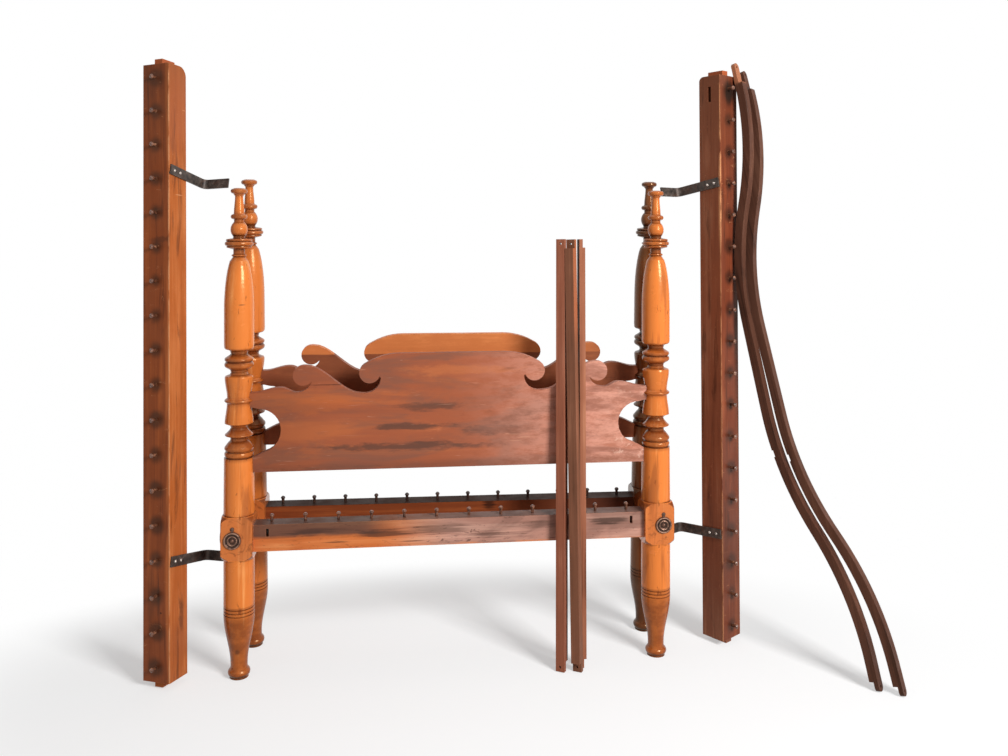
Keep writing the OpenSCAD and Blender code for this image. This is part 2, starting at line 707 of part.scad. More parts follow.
module foot_post_left() { color(wood) post(-1, 0, 0); }
module foot_post_right() { color(wood) translate([end_span, 0, 0]) post(1, 0, 0); }
module head_post_left() { color(wood) at_head() post(-1, head_extra, head_board_lift); }
module head_post_right() {
    color(wood) at_head() translate([end_span, 0, 0]) post(1, head_extra, head_board_lift);
}
module foot_board() { color(dark_wood) translate([end_span / 2, 0, board_z]) board_blank(); }
module head_board() {
    color(dark_wood) at_head() translate([end_span / 2, 0, board_z + head_board_lift]) board_blank();
}
module foot_rail() { color(wood) translate([half_block, 0, end_rail_z]) end_rail(); }
module head_rail() { color(dark_wood) at_head() translate([half_block, 0, end_rail_z]) end_rail(); }
module end_rail_pegs() {
    for (x = end_peg_places()) translate([half_block + x, 0, end_rail_z + end_rail_h / 2]) peg();
}
module foot_rail_pegs() { color(dark_wood) end_rail_pegs(); }
module head_rail_pegs() { color(dark_wood) at_head() end_rail_pegs(); }
module foot_bed_bolts() { color(iron) end_bolts(); }
module head_bed_bolts() { color(iron) at_head() end_bolts(); }
module foot_bolt_nuts() { color(iron) end_nuts(); }
module head_bolt_nuts() { color(iron) at_head() end_nuts(); }
module front_cover(side) { on_front(side) translate([0, 0, cover_gap]) cover(); }
module side_cover(side) { on_side(side) translate([0, 0, cover_gap]) cover(); }
module cover_nails() {
    for (side = [-1, 1]) translate([side > 0 ? end_span : 0, 0, 0]) {
        on_front(side) nail();
        on_side(side) nail();
    }
}
module foot_left_front_cover() { color(bronze) front_cover(-1); }
module foot_left_side_cover() { color(bronze) side_cover(-1); }
module foot_right_front_cover() { color(bronze) translate([end_span, 0, 0]) front_cover(1); }
module foot_right_side_cover() { color(bronze) translate([end_span, 0, 0]) side_cover(1); }
module head_left_back_cover() { color(bronze) at_head() front_cover(-1); }
module head_left_side_cover() { color(bronze) at_head() side_cover(-1); }
module head_right_back_cover() { color(bronze) at_head() translate([end_span, 0, 0]) front_cover(1); }
module head_right_side_cover() { color(bronze) at_head() translate([end_span, 0, 0]) side_cover(1); }
module foot_cover_nails() { color(iron) cover_nails(); }
module head_cover_nails() { color(iron) at_head() cover_nails(); }
module left_side_rail() {
    color(dark_wood) at_left_rail()
        side_rail(left_strap_high, left_high_drop, left_low_drop, 30, [-1, -1]);
}
module right_side_rail() {
    color(dark_wood) at_right_rail()
        side_rail(right_strap_high, right_high_drop, right_low_drop, 16, [-1, 1]);
}
module left_rail_pegs() { color(wood) at_left_rail() side_pegs(); }
module right_rail_pegs() { color(wood) at_right_rail() side_pegs(); }
module left_strap_upper() { color(iron) at_left_rail() strap(left_strap_high, left_high_drop); }
module left_strap_lower() { color(iron) at_left_rail() strap(strap_low, left_low_drop); }
module right_strap_upper() { color(iron) at_right_rail() strap(right_strap_high, right_high_drop); }
module right_strap_lower() { color(iron) at_right_rail() strap(strap_low, right_low_drop); }
module left_strap_nails() {
    color(bronze) at_left_rail() {
        strap_nails(left_strap_high, left_high_drop);
        strap_nails(strap_low, left_low_drop);
    }
}
module right_strap_nails() {
    color(bronze) at_right_rail() {
        strap_nails(right_strap_high, right_high_drop);
        strap_nails(strap_low, right_low_drop);
    }
}
module canopy_rail_inner() {
    color(canopy_wood) stand(foot_under(inner_rail_top, inner_rail_lean, canopy_rail_l),
        inner_rail_lean, inner_rail_turn, round_lift(inner_rail_lean, inner_rail_turn)) canopy_rail();
}
module canopy_rail_outer() {
    color(canopy_wood) stand(foot_under(outer_rail_top, outer_rail_lean, canopy_rail_l),
        outer_rail_lean, outer_rail_turn, round_lift(outer_rail_lean, outer_rail_turn)) canopy_rail();
}
module canopy_bar_left() {
    color(dark_wood) stand(left_bar_foot, left_bar_lean, bar_turn, square_lift(canopy_w, left_bar_lean))
        canopy_bar(1, 1);
}
module canopy_bar_right() {
    color(dark_wood) stand(right_bar_foot, right_bar_lean, bar_turn, square_lift(canopy_w, right_bar_lean))
        canopy_bar(-1, -1);
}
module canopy_bar_middle() {
    color(dark_wood) stand(middle_bar_foot, middle_bar_lean, middle_bar_turn,
        square_lift(thin_w, middle_bar_lean)) thin_bar();
}

foot_post_left();
foot_post_right();
head_post_left();
head_post_right();
foot_board();
head_board();
foot_rail();
head_rail();
foot_rail_pegs();
head_rail_pegs();
foot_bed_bolts();
head_bed_bolts();
foot_bolt_nuts();
head_bolt_nuts();
foot_left_front_cover();
foot_left_side_cover();
foot_right_front_cover();
foot_right_side_cover();
head_left_back_cover();
head_left_side_cover();
head_right_back_cover();
head_right_side_cover();
foot_cover_nails();
head_cover_nails();
left_side_rail();
right_side_rail();
left_rail_pegs();
right_rail_pegs();
left_strap_upper();
left_strap_lower();
right_strap_upper();
right_strap_lower();
left_strap_nails();
right_strap_nails();
canopy_rail_inner();
canopy_rail_outer();
canopy_bar_left();
canopy_bar_right();
canopy_bar_middle();
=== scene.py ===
import math

import bpy
from mathutils import Matrix, Vector


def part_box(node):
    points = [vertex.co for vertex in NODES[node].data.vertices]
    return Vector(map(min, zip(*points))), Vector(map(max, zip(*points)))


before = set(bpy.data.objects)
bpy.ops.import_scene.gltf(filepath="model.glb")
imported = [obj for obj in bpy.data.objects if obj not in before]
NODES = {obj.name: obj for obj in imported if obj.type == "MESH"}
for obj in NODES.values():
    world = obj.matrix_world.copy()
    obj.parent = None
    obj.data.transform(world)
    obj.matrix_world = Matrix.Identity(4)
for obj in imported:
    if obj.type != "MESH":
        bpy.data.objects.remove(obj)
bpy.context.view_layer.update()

bl_info = {
    "name": "Rope Bed",
    "version": (1, 0, 0),
    "blender": (4, 5, 0),
    "location": "View3D > Sidebar > Rope Bed",
    "description": "Finishes a turned rope bed that stands knocked down, and its stage",
    "category": "Object",
}

SIDES = ("left", "right")
ENDS = ("foot", "head")
UNTURNED = (0, 0, 0)


def linear(value):
    """One channel of a colour as it is seen, from 0 to 255, as linear light."""
    value /= 255
    return value / 12.92 if value <= 0.04045 else ((value + 0.055) / 1.055) ** 2.4


def seen(red, green, blue):
    return (linear(red), linear(green), linear(blue))


def colour(name, value, words):
    return bpy.props.FloatVectorProperty(
        name=name, description=words, subtype="COLOR", size=3, min=0, max=1, default=value)


class RopeBedWoods(bpy.types.PropertyGroup):
    post: colour("Post", seen(230, 127, 55), "Varnished maple of the turned posts")
    post_light: colour("Post light", seen(250, 162, 92), "Pale grain of the posts")
    post_dark: colour("Post dark", seen(158, 74, 34), "Dark grain of the posts")
    post_grime: colour("Post grime", seen(104, 40, 17), "Grime on the rings and in the necks")
    post_block: colour("Post block", seen(190, 104, 60), "Duller finish of the square blocks")
    board: colour("Foot board", seen(160, 86, 58), "Red brown wood of the foot board")
    board_light: colour("Foot board light", seen(196, 112, 72), "Orange grain of the foot board")
    board_dark: colour("Foot board dark", seen(112, 64, 48), "Dark grain of the foot board")
    head_board: colour("Head board", seen(140, 78, 52), "Browned wood of the head board")
    crest: colour("Crest", seen(214, 124, 70), "Crest of the head board, which kept its colour")
    foot_rail: colour("Foot rail", seen(206, 112, 58), "Orange wood at the left of the foot rail")
    foot_rail_grey: colour("Foot rail grey", seen(178, 132, 118), "Greyed wood at the right of the foot rail")
    foot_rail_grime: colour("Foot rail grime", seen(84, 62, 56), "Grime along the top of the foot rail")
    head_rail: colour("Head rail", seen(124, 60, 32), "Dark wood of the head rail")
    # On the left rail the darker peg face and the brighter strap face are partly painted shade and light,
    # partly the wood's own tones.
    left_rail: colour("Left rail", seen(140, 68, 34), "Peg face of the left side rail")
    left_strap_face: colour("Left strap face", seen(178, 94, 42), "Strap face of the left side rail")
    right_rail: colour("Right rail", seen(112, 52, 31), "Peg face of the right side rail")
    right_strap_face: colour("Right strap face", seen(134, 74, 50), "Strap face of the right side rail")
    peg: colour("Peg", seen(104, 62, 42), "Wood of the pegs")
    canopy: colour("Canopy", seen(84, 52, 40), "Darkened wood of the curved canopy rails")
    canopy_dark: colour("Canopy dark", seen(44, 26, 21), "Dark grain of the canopy rails")
    bar_left: colour("Left bar", seen(148, 88, 66), "Wood of the left straight bar")
    bar_right: colour("Right bar", seen(124, 80, 60), "Wood of the right straight bar")
    bar_middle: colour("Middle bar", seen(150, 92, 68), "Wood of the middle straight bar")
    bare: colour("Bare wood", seen(216, 150, 104), "Fresh wood at worn edges and splinters")


class RopeBedMetals(bpy.types.PropertyGroup):
    iron: colour("Iron", seen(78, 68, 62), "Dark iron of the straps")
    iron_light: colour("Iron light", seen(140, 126, 116), "Rubbed edges of the iron")
    rust: colour("Rust", seen(98, 62, 44), "Rust on the iron")
    strap_nail: colour("Strap nail", seen(206, 194, 184), "Bright heads of the strap nails")
    cover_nail: colour("Cover nail", seen(104, 72, 54), "Browned heads of the cover nails")
    bronze: colour("Bronze", seen(104, 74, 60), "Patina of the bolt covers")
    # Rubbed rings, partly a painted highlight.
    bronze_light: colour("Bronze light", seen(176, 138, 116), "Rubbed rings of the bolt covers")


class RopeBedStage(bpy.types.PropertyGroup):
    eye: bpy.props.FloatVectorProperty(
        name="Eye", description="Place of the camera", subtype="TRANSLATION", size=3,
        default=(0.487, -2.793, 1.320))
    turn: bpy.props.FloatProperty(
        name="Turn", description="Turn of the camera about the upright", subtype="ANGLE",
        default=math.radians(-6.51))
    lens: bpy.props.FloatProperty(name="Lens", description="Focal length in millimetres", default=32.14)
    drop: bpy.props.FloatProperty(
        name="Drop", description="Shift of the view, as a share of its width", default=-0.1377)


# ---- Writing a material ----

# The tint of the shine on fresh varnish and on dull old finish
VARNISH_TINT = (1, 0.72, 0.42, 1)
DULL_TINT = (1, 0.75, 0.5, 1)


class Paint:
    """A node tree that is being written: each method adds nodes and returns what they give."""

    def __init__(self, owner):
        self.owner = owner
        owner.use_nodes = True
        self.tree = owner.node_tree
        self.tree.nodes.clear()

    def add(self, kind, inputs=None, **settings):
        made = self.tree.nodes.new(kind)
        for key, value in settings.items():
            setattr(made, key, value)
        for key, value in (inputs or {}).items():
            if isinstance(value, bpy.types.NodeSocket):
                self.tree.links.new(value, made.inputs[key])
            else:
                made.inputs[key].default_value = value
        return made

    def math(self, operation, *values, clamp=False):
        made = self.add("ShaderNodeMath", dict(enumerate(values)), operation=operation, use_clamp=clamp)
        return made.outputs[0]

    def times(self, first, second, clamp=False):
        return self.math("MULTIPLY", first, second, clamp=clamp)

    def spread(self, noise, reach):
        """Moves a noise to lie about 0 and stretches it."""
        return self.times(self.math("SUBTRACT", noise, 0.5), reach)

    def step(self, value, start, end, low=0.0, high=1.0, straight=False):
        """Goes from low to high while the value goes from start to end."""
        return self.add(
            "ShaderNodeMapRange",
            {"Value": value, "From Min": start, "From Max": end, "To Min": low, "To Max": high},
            interpolation_type="LINEAR" if straight else "SMOOTHSTEP").outputs["Result"]

    def band(self, value, low, high, soft):
        """1 where the value lies between low and high, with soft edges."""
        rise = self.step(value, low - soft, low + soft)
        fall = self.step(value, high - soft, high + soft)
        return self.math("SUBTRACT", rise, fall, clamp=True)

    def place(self, location=(0, 0, 0), rotation=UNTURNED):
        """Coordinates of a piece's own frame, from its place and turn in the bed's frame."""
        where = self.add("ShaderNodeTexCoord").outputs["Object"]
        return self.add(
            "ShaderNodeMapping",
            {"Vector": where, "Location": location, "Rotation": rotation}, vector_type="TEXTURE").outputs[0]

    def stretch(self, where, scale, offset=(0, 0, 0)):
        return self.add("ShaderNodeMapping", {"Vector": where, "Scale": scale, "Location": offset}).outputs[0]

    def parts(self, where):
        """X, Y and Z of a place."""
        outputs = self.add("ShaderNodeSeparateXYZ", {"Vector": where}).outputs
        return [outputs[axis] for axis in "XYZ"]

    def length(self, where):
        return self.add("ShaderNodeVectorMath", {0: where}, operation="LENGTH").outputs["Value"]

    def noise(self, where, scale, detail=4.0, roughness=0.55, warp=0.0):
        return self.add(
            "ShaderNodeTexNoise",
            {"Vector": where, "Scale": scale, "Detail": detail, "Roughness": roughness,
             "Distortion": warp}).outputs["Fac"]

    def streak(self, where, scale, offset, detail, roughness=0.55, warp=0.0):
        """A noise with a scale of its own along each axis."""
        return self.noise(self.stretch(where, scale, offset), 1.0, detail, roughness, warp)

    def blotch(self, where, offset, scale, detail, roughness, warp=0.0):
        """A noise that is as wide as it is high, moved so that no two pieces share it."""
        return self.noise(self.stretch(where, (1, 1, 1), offset), scale, detail, roughness, warp)

    def mix(self, share, first, second):
        made = self.add("ShaderNodeMix", data_type="RGBA", blend_type="MIX")
        for index, value in ((0, share), (6, first), (7, second)):
            if isinstance(value, bpy.types.NodeSocket):
                self.tree.links.new(value, made.inputs[index])
            elif index:
                made.inputs[index].default_value = (*value, 1)
            else:
                made.inputs[index].default_value = value
        return made.outputs[2]

    def lay(self, base, mask, share, tone):
        """Lays a tone over the base where the mask is, as thickly as the share says."""
        return self.mix(self.times(mask, share), base, tone)

    def ramp(self, share, *stops, ease="EASE"):
        made = self.add("ShaderNodeValToRGB", {"Fac": share})
        made.color_ramp.interpolation = ease
        for index, (at, value) in enumerate(stops):
            element = made.color_ramp.elements[index] if index < 2 else made.color_ramp.elements.new(at)
            element.position = at
            element.color = (*value, 1)
        return made.outputs["Color"]

    def tones(self, figure, dark, middle, light, stops=(0.34, 0.50, 0.68)):
        """The dark, middle and light tone of a grain."""
        return self.ramp(figure, *zip(stops, (dark, middle, light)))

    def worn(self, radius):
        """1 on a convex edge of about this radius, 0 on a flat face."""
        flat = self.add("ShaderNodeNewGeometry").outputs["Normal"]
        soft = self.add("ShaderNodeBevel", {"Radius": radius}, samples=4).outputs[0]
        lean = self.add("ShaderNodeVectorMath", {0: flat, 1: soft}, operation="DOT_PRODUCT").outputs["Value"]
        return self.step(lean, 0.995, 0.86)

    def hollow(self, distance):
        """1 deep in a groove or a corner, 0 on an open face; the mask of painted shade."""
        open_share = self.add("ShaderNodeAmbientOcclusion", {"Distance": distance}, samples=6).outputs["AO"]
        return self.step(open_share, 0.90, 0.45)

    def direct(self):
        """1 for what the camera sees itself, in a mirror or through glass, and 0 for light on the bed."""
        rays = self.add("ShaderNodeLightPath").outputs
        open_rays = self.math("ADD", rays["Is Camera Ray"], rays["Is Glossy Ray"])
        return self.math("ADD", open_rays, rays["Is Transmission Ray"], clamp=True)

    def polish(self, noise, smooth, rough):
        """A roughness that wanders between two values."""
        return self.step(noise, 0.3, 0.7, smooth, rough)

    def finish(self, base, roughness, height, depth, **constants):
        """Ends a material: depth is how far the bumps of the height reach."""
        bump = self.add("ShaderNodeBump", {"Height": height, "Distance": depth, "Strength": 1.0})
        shader = self.add(
            "ShaderNodeBsdfPrincipled",
            {"Base Color": base, "Roughness": roughness, "Normal": bump.outputs[0]})
        for key, value in constants.items():
            shader.inputs[key.replace("_", " ")].default_value = value
        self.add("ShaderNodeOutputMaterial", {"Surface": shader.outputs[0]})
        return self.owner

    def finish_wood(self, base, roughness, figure, depth, shine, tint=DULL_TINT):
        return self.finish(base, roughness, figure, depth, Specular_IOR_Level=shine, Specular_Tint=tint)


def new_paint(name):
    return Paint(bpy.data.materials.new(name))


def lay_marks(paint, base, where, wander, marks, side_face=False):
    """Lays soft edged marks on a flat face: x, z, half width, half height, share and colour of each.

    On a side face x is measured along Y.
    """
    for x, z, wide, high, share, tone in marks:
        scale, offset = (1 / wide, 0, 1 / high), (-x / wide, 0, -z / high)
        if side_face:
            scale, offset = (0, 1 / wide, 1 / high), (0, -x / wide, -z / high)
        reach = paint.math("ADD", paint.length(paint.stretch(where, scale, offset)), wander)
        base = paint.lay(base, paint.step(reach, 1.25, 0.40), share, tone)
    return base


def grain(paint, where, along, seed, fineness=1.0):
    """Fine fibres, broad streaks and patches that follow the grain of a piece."""
    fine = [110 * fineness] * 3
    broad = [17 * fineness] * 3
    fine["XYZ".index(along)] = 3.5
    broad["XYZ".index(along)] = 1.1
    shift = (seed * 3.1, seed * 1.7, seed * 2.3)
    fibres = paint.streak(where, fine, shift, 5, 0.62, 0.4)
    streaks = paint.streak(where, broad, shift, 4, 0.55, 0.9)
    patches = paint.blotch(where, shift, 5.5, 3, 0.5, 0.3)
    return fibres, streaks, patches


def mixed(paint, *terms):
    """The sum of some noises, each with its share."""
    total = None
    for value, share in terms:
        part = paint.times(value, share)
        total = part if total is None else paint.math("ADD", total, part)
    return total


# ---- Posts ----

# How dark the finish has gone along the turnings: millimetres from a post's top and the share, and
# how far down these go
TURNING_GRIME = (
    (0, 0.55), (22, 0.50), (30, 0.14), (72, 0.22), (82, 0.60), (100, 0.50), (112, 0.16), (136, 0.34),
    (150, 0.72), (158, 0.52), (172, 0.56), (186, 0.72), (203, 0.52), (222, 0.16), (262, 0.0), (480, 0.0),
    (493, 0.62), (508, 0.44), (524, 0.74), (533, 0.42), (550, 0.70), (572, 0.14), (626, 0.18), (641, 0.55),
    (658, 0.12), (706, 0.16), (722, 0.72), (743, 0.50), (758, 0.68), (791, 0.54), (812, 0.46), (822, 0.0),
)
GRIME_REACH = 850

# Heights on a post: its square block, and the rings and the ankle under it
BLOCK = (0.3635, 0.4905)
FOOT_RINGS = (0.188, 0.221)
ANKLE = (0.222, 0.170)

# A scratch on the left foot post and a knot near its foot
FOOT_POST_MARKS = (
    (0.0147, 1.124, 0.010, 0.0016, 0.8, seen(70, 34, 20)),
    (0.0, 0.0845, 0.008, 0.009, 0.6, seen(84, 44, 28)),
)


def lay_grime(paint, base, where, seed, tall):
    """Darkens the turnings, the rings under the block and the ankle."""
    woods = bpy.context.scene.rope_bed_woods
    height = paint.parts(where)[2]
    down = paint.step(height, tall, tall - GRIME_REACH / 1000, straight=True)
    stops = ((at / GRIME_REACH, (share,) * 3) for at, share in TURNING_GRIME)
    grime = paint.ramp(down, *stops, ease="LINEAR")
    rings = paint.band(height, *FOOT_RINGS, 0.002)
    grime = paint.math("MAXIMUM", grime, paint.times(rings, 0.35))
    grime = paint.math("MAXIMUM", grime, paint.step(height, *ANKLE, 0.0, 0.62))
    cloudy = paint.noise(paint.stretch(where, (1, 1, 1.6), (seed, 1, 2)), 24, 4, 0.6)
    cloudy = paint.step(cloudy, 0.30, 0.62, 0.80, 1.2)
    return paint.mix(paint.times(grime, cloudy, clamp=True), base, woods.post_grime)


def lay_block(paint, base, where, seed):
    """Dulls the square block, stains it, darkens its edges, and lays painted shade in its recesses and on its
    ends.
    """
    woods = bpy.context.scene.rope_bed_woods
    across, deep, height = paint.parts(where)
    block = paint.band(height, *BLOCK, 0.001)
    base = paint.lay(base, block, 0.5, woods.post_block)
    darker_patch = paint.step(paint.blotch(where, (seed, 0, 3), 26, 4, 0.6, 1.5), 0.54, 0.68)
    base = paint.lay(base, paint.times(block, darker_patch), 0.55, seen(112, 56, 30))
    # Painted shade in the recesses and on the shoulders at the block's ends.
    off_axis = paint.math("MAXIMUM", paint.math("ABSOLUTE", across), paint.math("ABSOLUTE", deep))
    inside = paint.step(off_axis, 0.0464, 0.0452)
    base = paint.lay(base, paint.times(block, inside), 0.8, seen(104, 48, 22))
    return paint.lay(base, paint.times(paint.worn(0.003), block), 0.9, seen(98, 44, 22))


def post_wood(name, seed, place, rotation, tall, darker=0.0, marks=()):
    """Varnished maple; a post that stands behind gets painted shade, partly a darker finish."""
    woods = bpy.context.scene.rope_bed_woods
    paint = new_paint(name)
    where = paint.place(place, rotation)
    fibres, streaks, patches = grain(paint, where, "Z", seed)
    figure = mixed(paint, (fibres, 0.34), (streaks, 0.5), (patches, 0.22))
    base = paint.ramp(figure, (0.34, woods.post_dark), (0.46, woods.post), (0.55, woods.post),
                      (0.70, woods.post_light))
    base = lay_grime(paint, base, where, seed, tall)
    base = lay_marks(paint, base, where, paint.spread(patches, 1.2), marks)
    # Painted shade: darkens the grooves, necks and creases of the turnings.
    base = paint.lay(base, paint.hollow(0.022), 0.9, seen(52, 18, 8))
    base = lay_block(paint, base, where, seed)
    specks = paint.streak(where, (75, 75, 26), (seed, 5, 1), 3, 0.6)
    base = paint.lay(base, paint.step(specks, 0.64, 0.74), 0.65, seen(112, 50, 22))
    runs = paint.streak(where, (20, 20, 2.2), (seed, 2, 6), 4, 0.6, 0.5)
    base = paint.lay(base, paint.step(runs, 0.55, 0.72), 0.6, seen(150, 74, 34))
    # Painted shade, partly a darker finish: darkens the post by the given share.
    if darker:
        base = paint.mix(darker, base, seen(50, 24, 15))
    rough = paint.polish(paint.noise(where, 14, 3), 0.18, 0.28)
    return paint.finish_wood(base, rough, figure, 0.0006, 0.5, VARNISH_TINT)


# ---- End boards ----

SOOT = seen(78, 56, 50)

# Sooty streaks, two pin holes dark with painted shade, a crack and lighter and greyer patches
FOOT_BOARD_MARKS = (
    (0.51, 0.683, 0.25, 0.013, 0.75, SOOT),
    (0.54, 0.744, 0.11, 0.011, 0.75, SOOT),
    (0.58, 0.804, 0.10, 0.012, 0.65, SOOT),
    (0.80, 0.730, 0.16, 0.020, 0.55, SOOT),
    # The two pin holes: painted shade inside a hole.
    (0.436, 0.986, 0.004, 0.008, 0.80, seen(40, 22, 18)),
    (0.867, 0.986, 0.004, 0.008, 0.80, seen(40, 22, 18)),
    (0.28, 0.877, 0.07, 0.0022, 0.70, seen(70, 36, 28)),
    (0.22, 0.815, 0.12, 0.030, 0.45, seen(188, 98, 52)),
    (0.66, 0.915, 0.16, 0.018, 0.50, seen(196, 112, 66)),
    (1.03, 0.700, 0.15, 0.045, 0.40, seen(170, 112, 92)),
)

# The line above which the head board's crest has kept its colour
CREST_LINE = (0.9485, 0.9515)


def foot_board_coat(paint, where, figure, mottle, wander):
    """Streaked red brown, dark at the left end, pale to the right and scuffed at the lower right."""
    woods = bpy.context.scene.rope_bed_woods
    across, _, up = paint.parts(where)
    base = paint.ramp(figure, (0.33, woods.board_dark), (0.45, woods.board), (0.55, woods.board),
                      (0.68, woods.board_light))
    bands = paint.streak(where, (1.3, 1, 17), (0.3, 0, 2.0), 4, 0.6, 0.6)
    base = paint.lay(base, paint.step(bands, 0.50, 0.70), 0.40, seen(118, 72, 58))
    base = paint.lay(base, paint.step(bands, 0.48, 0.30), 0.45, seen(202, 112, 62))
    clouds = paint.streak(where, (3.2, 1, 13), (1.7, 0, 4.0), 5, 0.62, 0.5)
    base = paint.mix(paint.step(clouds, 0.45, 0.63, 0.0, 0.65), base, seen(120, 80, 67))
    base = lay_marks(paint, base, where, wander, FOOT_BOARD_MARKS)
    pale = paint.times(paint.step(across, 0.60, 1.15), paint.step(mottle, 0.36, 0.60, 0.35, 0.85))
    base = paint.mix(pale, base, seen(218, 156, 136))
    murk = paint.step(clouds, 0.48, 0.60, 0.0, 0.6)
    base = paint.lay(base, paint.step(across, 0.9, 1.1), murk, seen(142, 88, 72))
    base = paint.mix(paint.step(across, 0.34, 0.02, 0.0, 0.40), base, seen(116, 64, 44))
    scuffs = paint.step(paint.streak(where, (44, 44, 60), (2, 1, 0), 7, 0.75, 0.2), 0.55, 0.62)
    corner = paint.times(paint.step(across, 1.10, 1.22), paint.step(up, 0.84, 0.70, 0.25, 1.0))
    base = paint.lay(base, paint.times(scuffs, corner), 0.7, seen(236, 200, 180))
    scratches = paint.streak(where, (7, 1, 95), (5, 0, 1), 2, 0.5, 2.2)
    base = paint.lay(base, paint.step(scratches, 0.68, 0.74), 0.35, seen(206, 150, 122))
    return paint.mix(paint.step(up, 0.655, 0.620, 0.0, 0.35), base, seen(104, 62, 48))


def head_board_coat(paint, where, figure, _, wander):
    """Brown, under a crest that has kept its colour except at its right end."""
    woods = bpy.context.scene.rope_bed_woods
    across, _, up = paint.parts(where)
    base = paint.tones(figure, seen(104, 56, 38), woods.head_board, seen(168, 96, 62))
    fresh = paint.tones(figure, seen(196, 112, 66), woods.crest, seen(234, 146, 86))
    level = paint.math("ADD", up, paint.times(wander, 0.0012))
    share = paint.times(paint.step(level, *CREST_LINE), paint.step(across, 1.22, 0.92, 0.2, 1.0))
    return paint.mix(share, base, fresh)


def board_wood(name, seed, coat, place, rotation):
    """coat is the function that colours this board."""
    paint = new_paint(name)
    where = paint.place(place, rotation)
    fibres, streaks, patches = grain(paint, where, "X", seed)
    mottle = paint.streak(where, (16, 16, 44), (seed, 6, 1), 6, 0.72)
    figure = mixed(paint, (fibres, 0.20), (streaks, 0.34), (patches, 0.18), (mottle, 0.30))
    wander = paint.spread(paint.streak(where, (9, 9, 42), (seed, 0, 4), 5, 0.62, 0.7), 2.6)
    wander = paint.math("ADD", wander, paint.spread(mottle, 1.6))
    base = coat(paint, where, figure, mottle, wander)
    rough = paint.polish(paint.noise(where, 11, 4), 0.40, 0.60)
    return paint.finish_wood(base, rough, figure, 0.0006, 0.3)


# ---- End rails ----

# Heights over which an end rail's front goes black at the head end, and its top face goes darker
BLACK_EDGE = (0.4618, 0.4628)
DARK_TOP = (0.4625, 0.4630)

DARK_SOOT = seen(54, 38, 36)

# Sooty streaks, and a bright patch at the left end
FOOT_RAIL_MARKS = (
    (0.22, 0.436, 0.10, 0.010, 0.65, DARK_SOOT),
    (0.42, 0.424, 0.09, 0.012, 0.75, DARK_SOOT),
    (0.62, 0.430, 0.10, 0.014, 0.50, DARK_SOOT),
    (0.74, 0.408, 0.12, 0.009, 0.55, DARK_SOOT),
    (0.92, 0.436, 0.09, 0.010, 0.45, DARK_SOOT),
    (1.14, 0.440, 0.07, 0.008, 0.75, DARK_SOOT),
    (0.30, 0.404, 0.05, 0.003, 0.75, DARK_SOOT),
    (0.52, 0.398, 0.04, 0.003, 0.65, DARK_SOOT),
    (1.13, 0.430, 0.05, 0.003, 0.80, DARK_SOOT),
    (0.12, 0.398, 0.06, 0.012, 0.60, seen(232, 150, 92)),
)
HEAD_RAIL_MARKS = ((0.765, 0.450, 0.022, 0.016, 0.8, seen(36, 20, 16)),)


def foot_rail_coat(paint, where, figure, wander):
    """Orange at the left and grey at the right, with a band of grime and cracks along the grain."""
    woods = bpy.context.scene.rope_bed_woods
    across, _, up = paint.parts(where)
    base = paint.tones(figure, seen(158, 78, 38), woods.foot_rail, seen(232, 146, 88), (0.34, 0.48, 0.66))
    grey = paint.tones(
        figure, seen(122, 84, 74), woods.foot_rail_grey, seen(206, 162, 146), (0.36, 0.50, 0.66))
    slow = paint.streak(where, (3.2, 1, 8), (0, 0, 0), 4, 0.6, 0.6)
    level = paint.math("ADD", paint.math("ADD", up, paint.spread(slow, 0.055)), paint.times(across, 0.012))
    base = paint.lay(base, paint.step(across, 0.40, 0.66), 0.92, grey)
    murk = paint.times(paint.step(slow, 0.46, 0.58), paint.step(across, 0.45, 0.70))
    base = paint.lay(base, murk, 0.4, seen(98, 70, 64))
    band = paint.times(paint.step(level, 0.420, 0.434), paint.step(across, 0.50, 0.36, 0.25, 1.0))
    base = paint.lay(base, band, 0.88, woods.foot_rail_grime)
    low = paint.times(paint.step(level, 0.400, 0.392), paint.step(across, 0.4, 0.7))
    base = paint.lay(base, low, 0.85, seen(206, 124, 78))
    base = lay_marks(paint, base, where, wander, FOOT_RAIL_MARKS)
    cracks = paint.streak(where, (18, 18, 80), (4, 0, 7), 5, 0.7, 2.0)
    return paint.lay(base, paint.step(cracks, 0.58, 0.68), 0.7, seen(70, 46, 42))


def head_rail_coat(paint, where, figure, wander):
    """Dark, duller to the right, with a black edge at its top."""
    woods = bpy.context.scene.rope_bed_woods
    across, _, up = paint.parts(where)
    base = paint.tones(figure, seen(80, 36, 20), woods.head_rail, seen(158, 84, 44))
    base = lay_marks(paint, base, where, wander, HEAD_RAIL_MARKS)
    base = paint.mix(paint.step(across, 0.70, 1.15, 0.0, 0.7), base, seen(62, 38, 32))
    return paint.mix(paint.step(up, *BLACK_EDGE), base, seen(40, 22, 15))


def end_rail_wood(name, seed, coat, edge_tone, shine, place, rotation):
    """coat is the function that colours this rail, and edge_tone is for its worn edges."""
    paint = new_paint(name)
    where = paint.place(place, rotation)
    fibres, streaks, patches = grain(paint, where, "X", seed)
    figure = mixed(paint, (fibres, 0.3), (streaks, 0.5), (patches, 0.24))
    wander = paint.spread(paint.streak(where, (5, 5, 24), (seed, 3, 0), 5, 0.62, 0.8), 2.2)
    wander = paint.math("ADD", wander, paint.spread(fibres, 3.0))
    base = coat(paint, where, figure, wander)
    # Darkens the top face of the rail.
    top = paint.step(paint.parts(where)[2], *DARK_TOP)
    base = paint.lay(base, top, 0.55, seen(58, 40, 34))
    base = paint.lay(base, paint.worn(0.002), 0.4, edge_tone)
    rough = paint.polish(paint.noise(where, 16, 4), 0.46, 0.66)
    return paint.finish_wood(base, rough, figure, 0.0009, shine)


# ---- Side rails and pegs ----

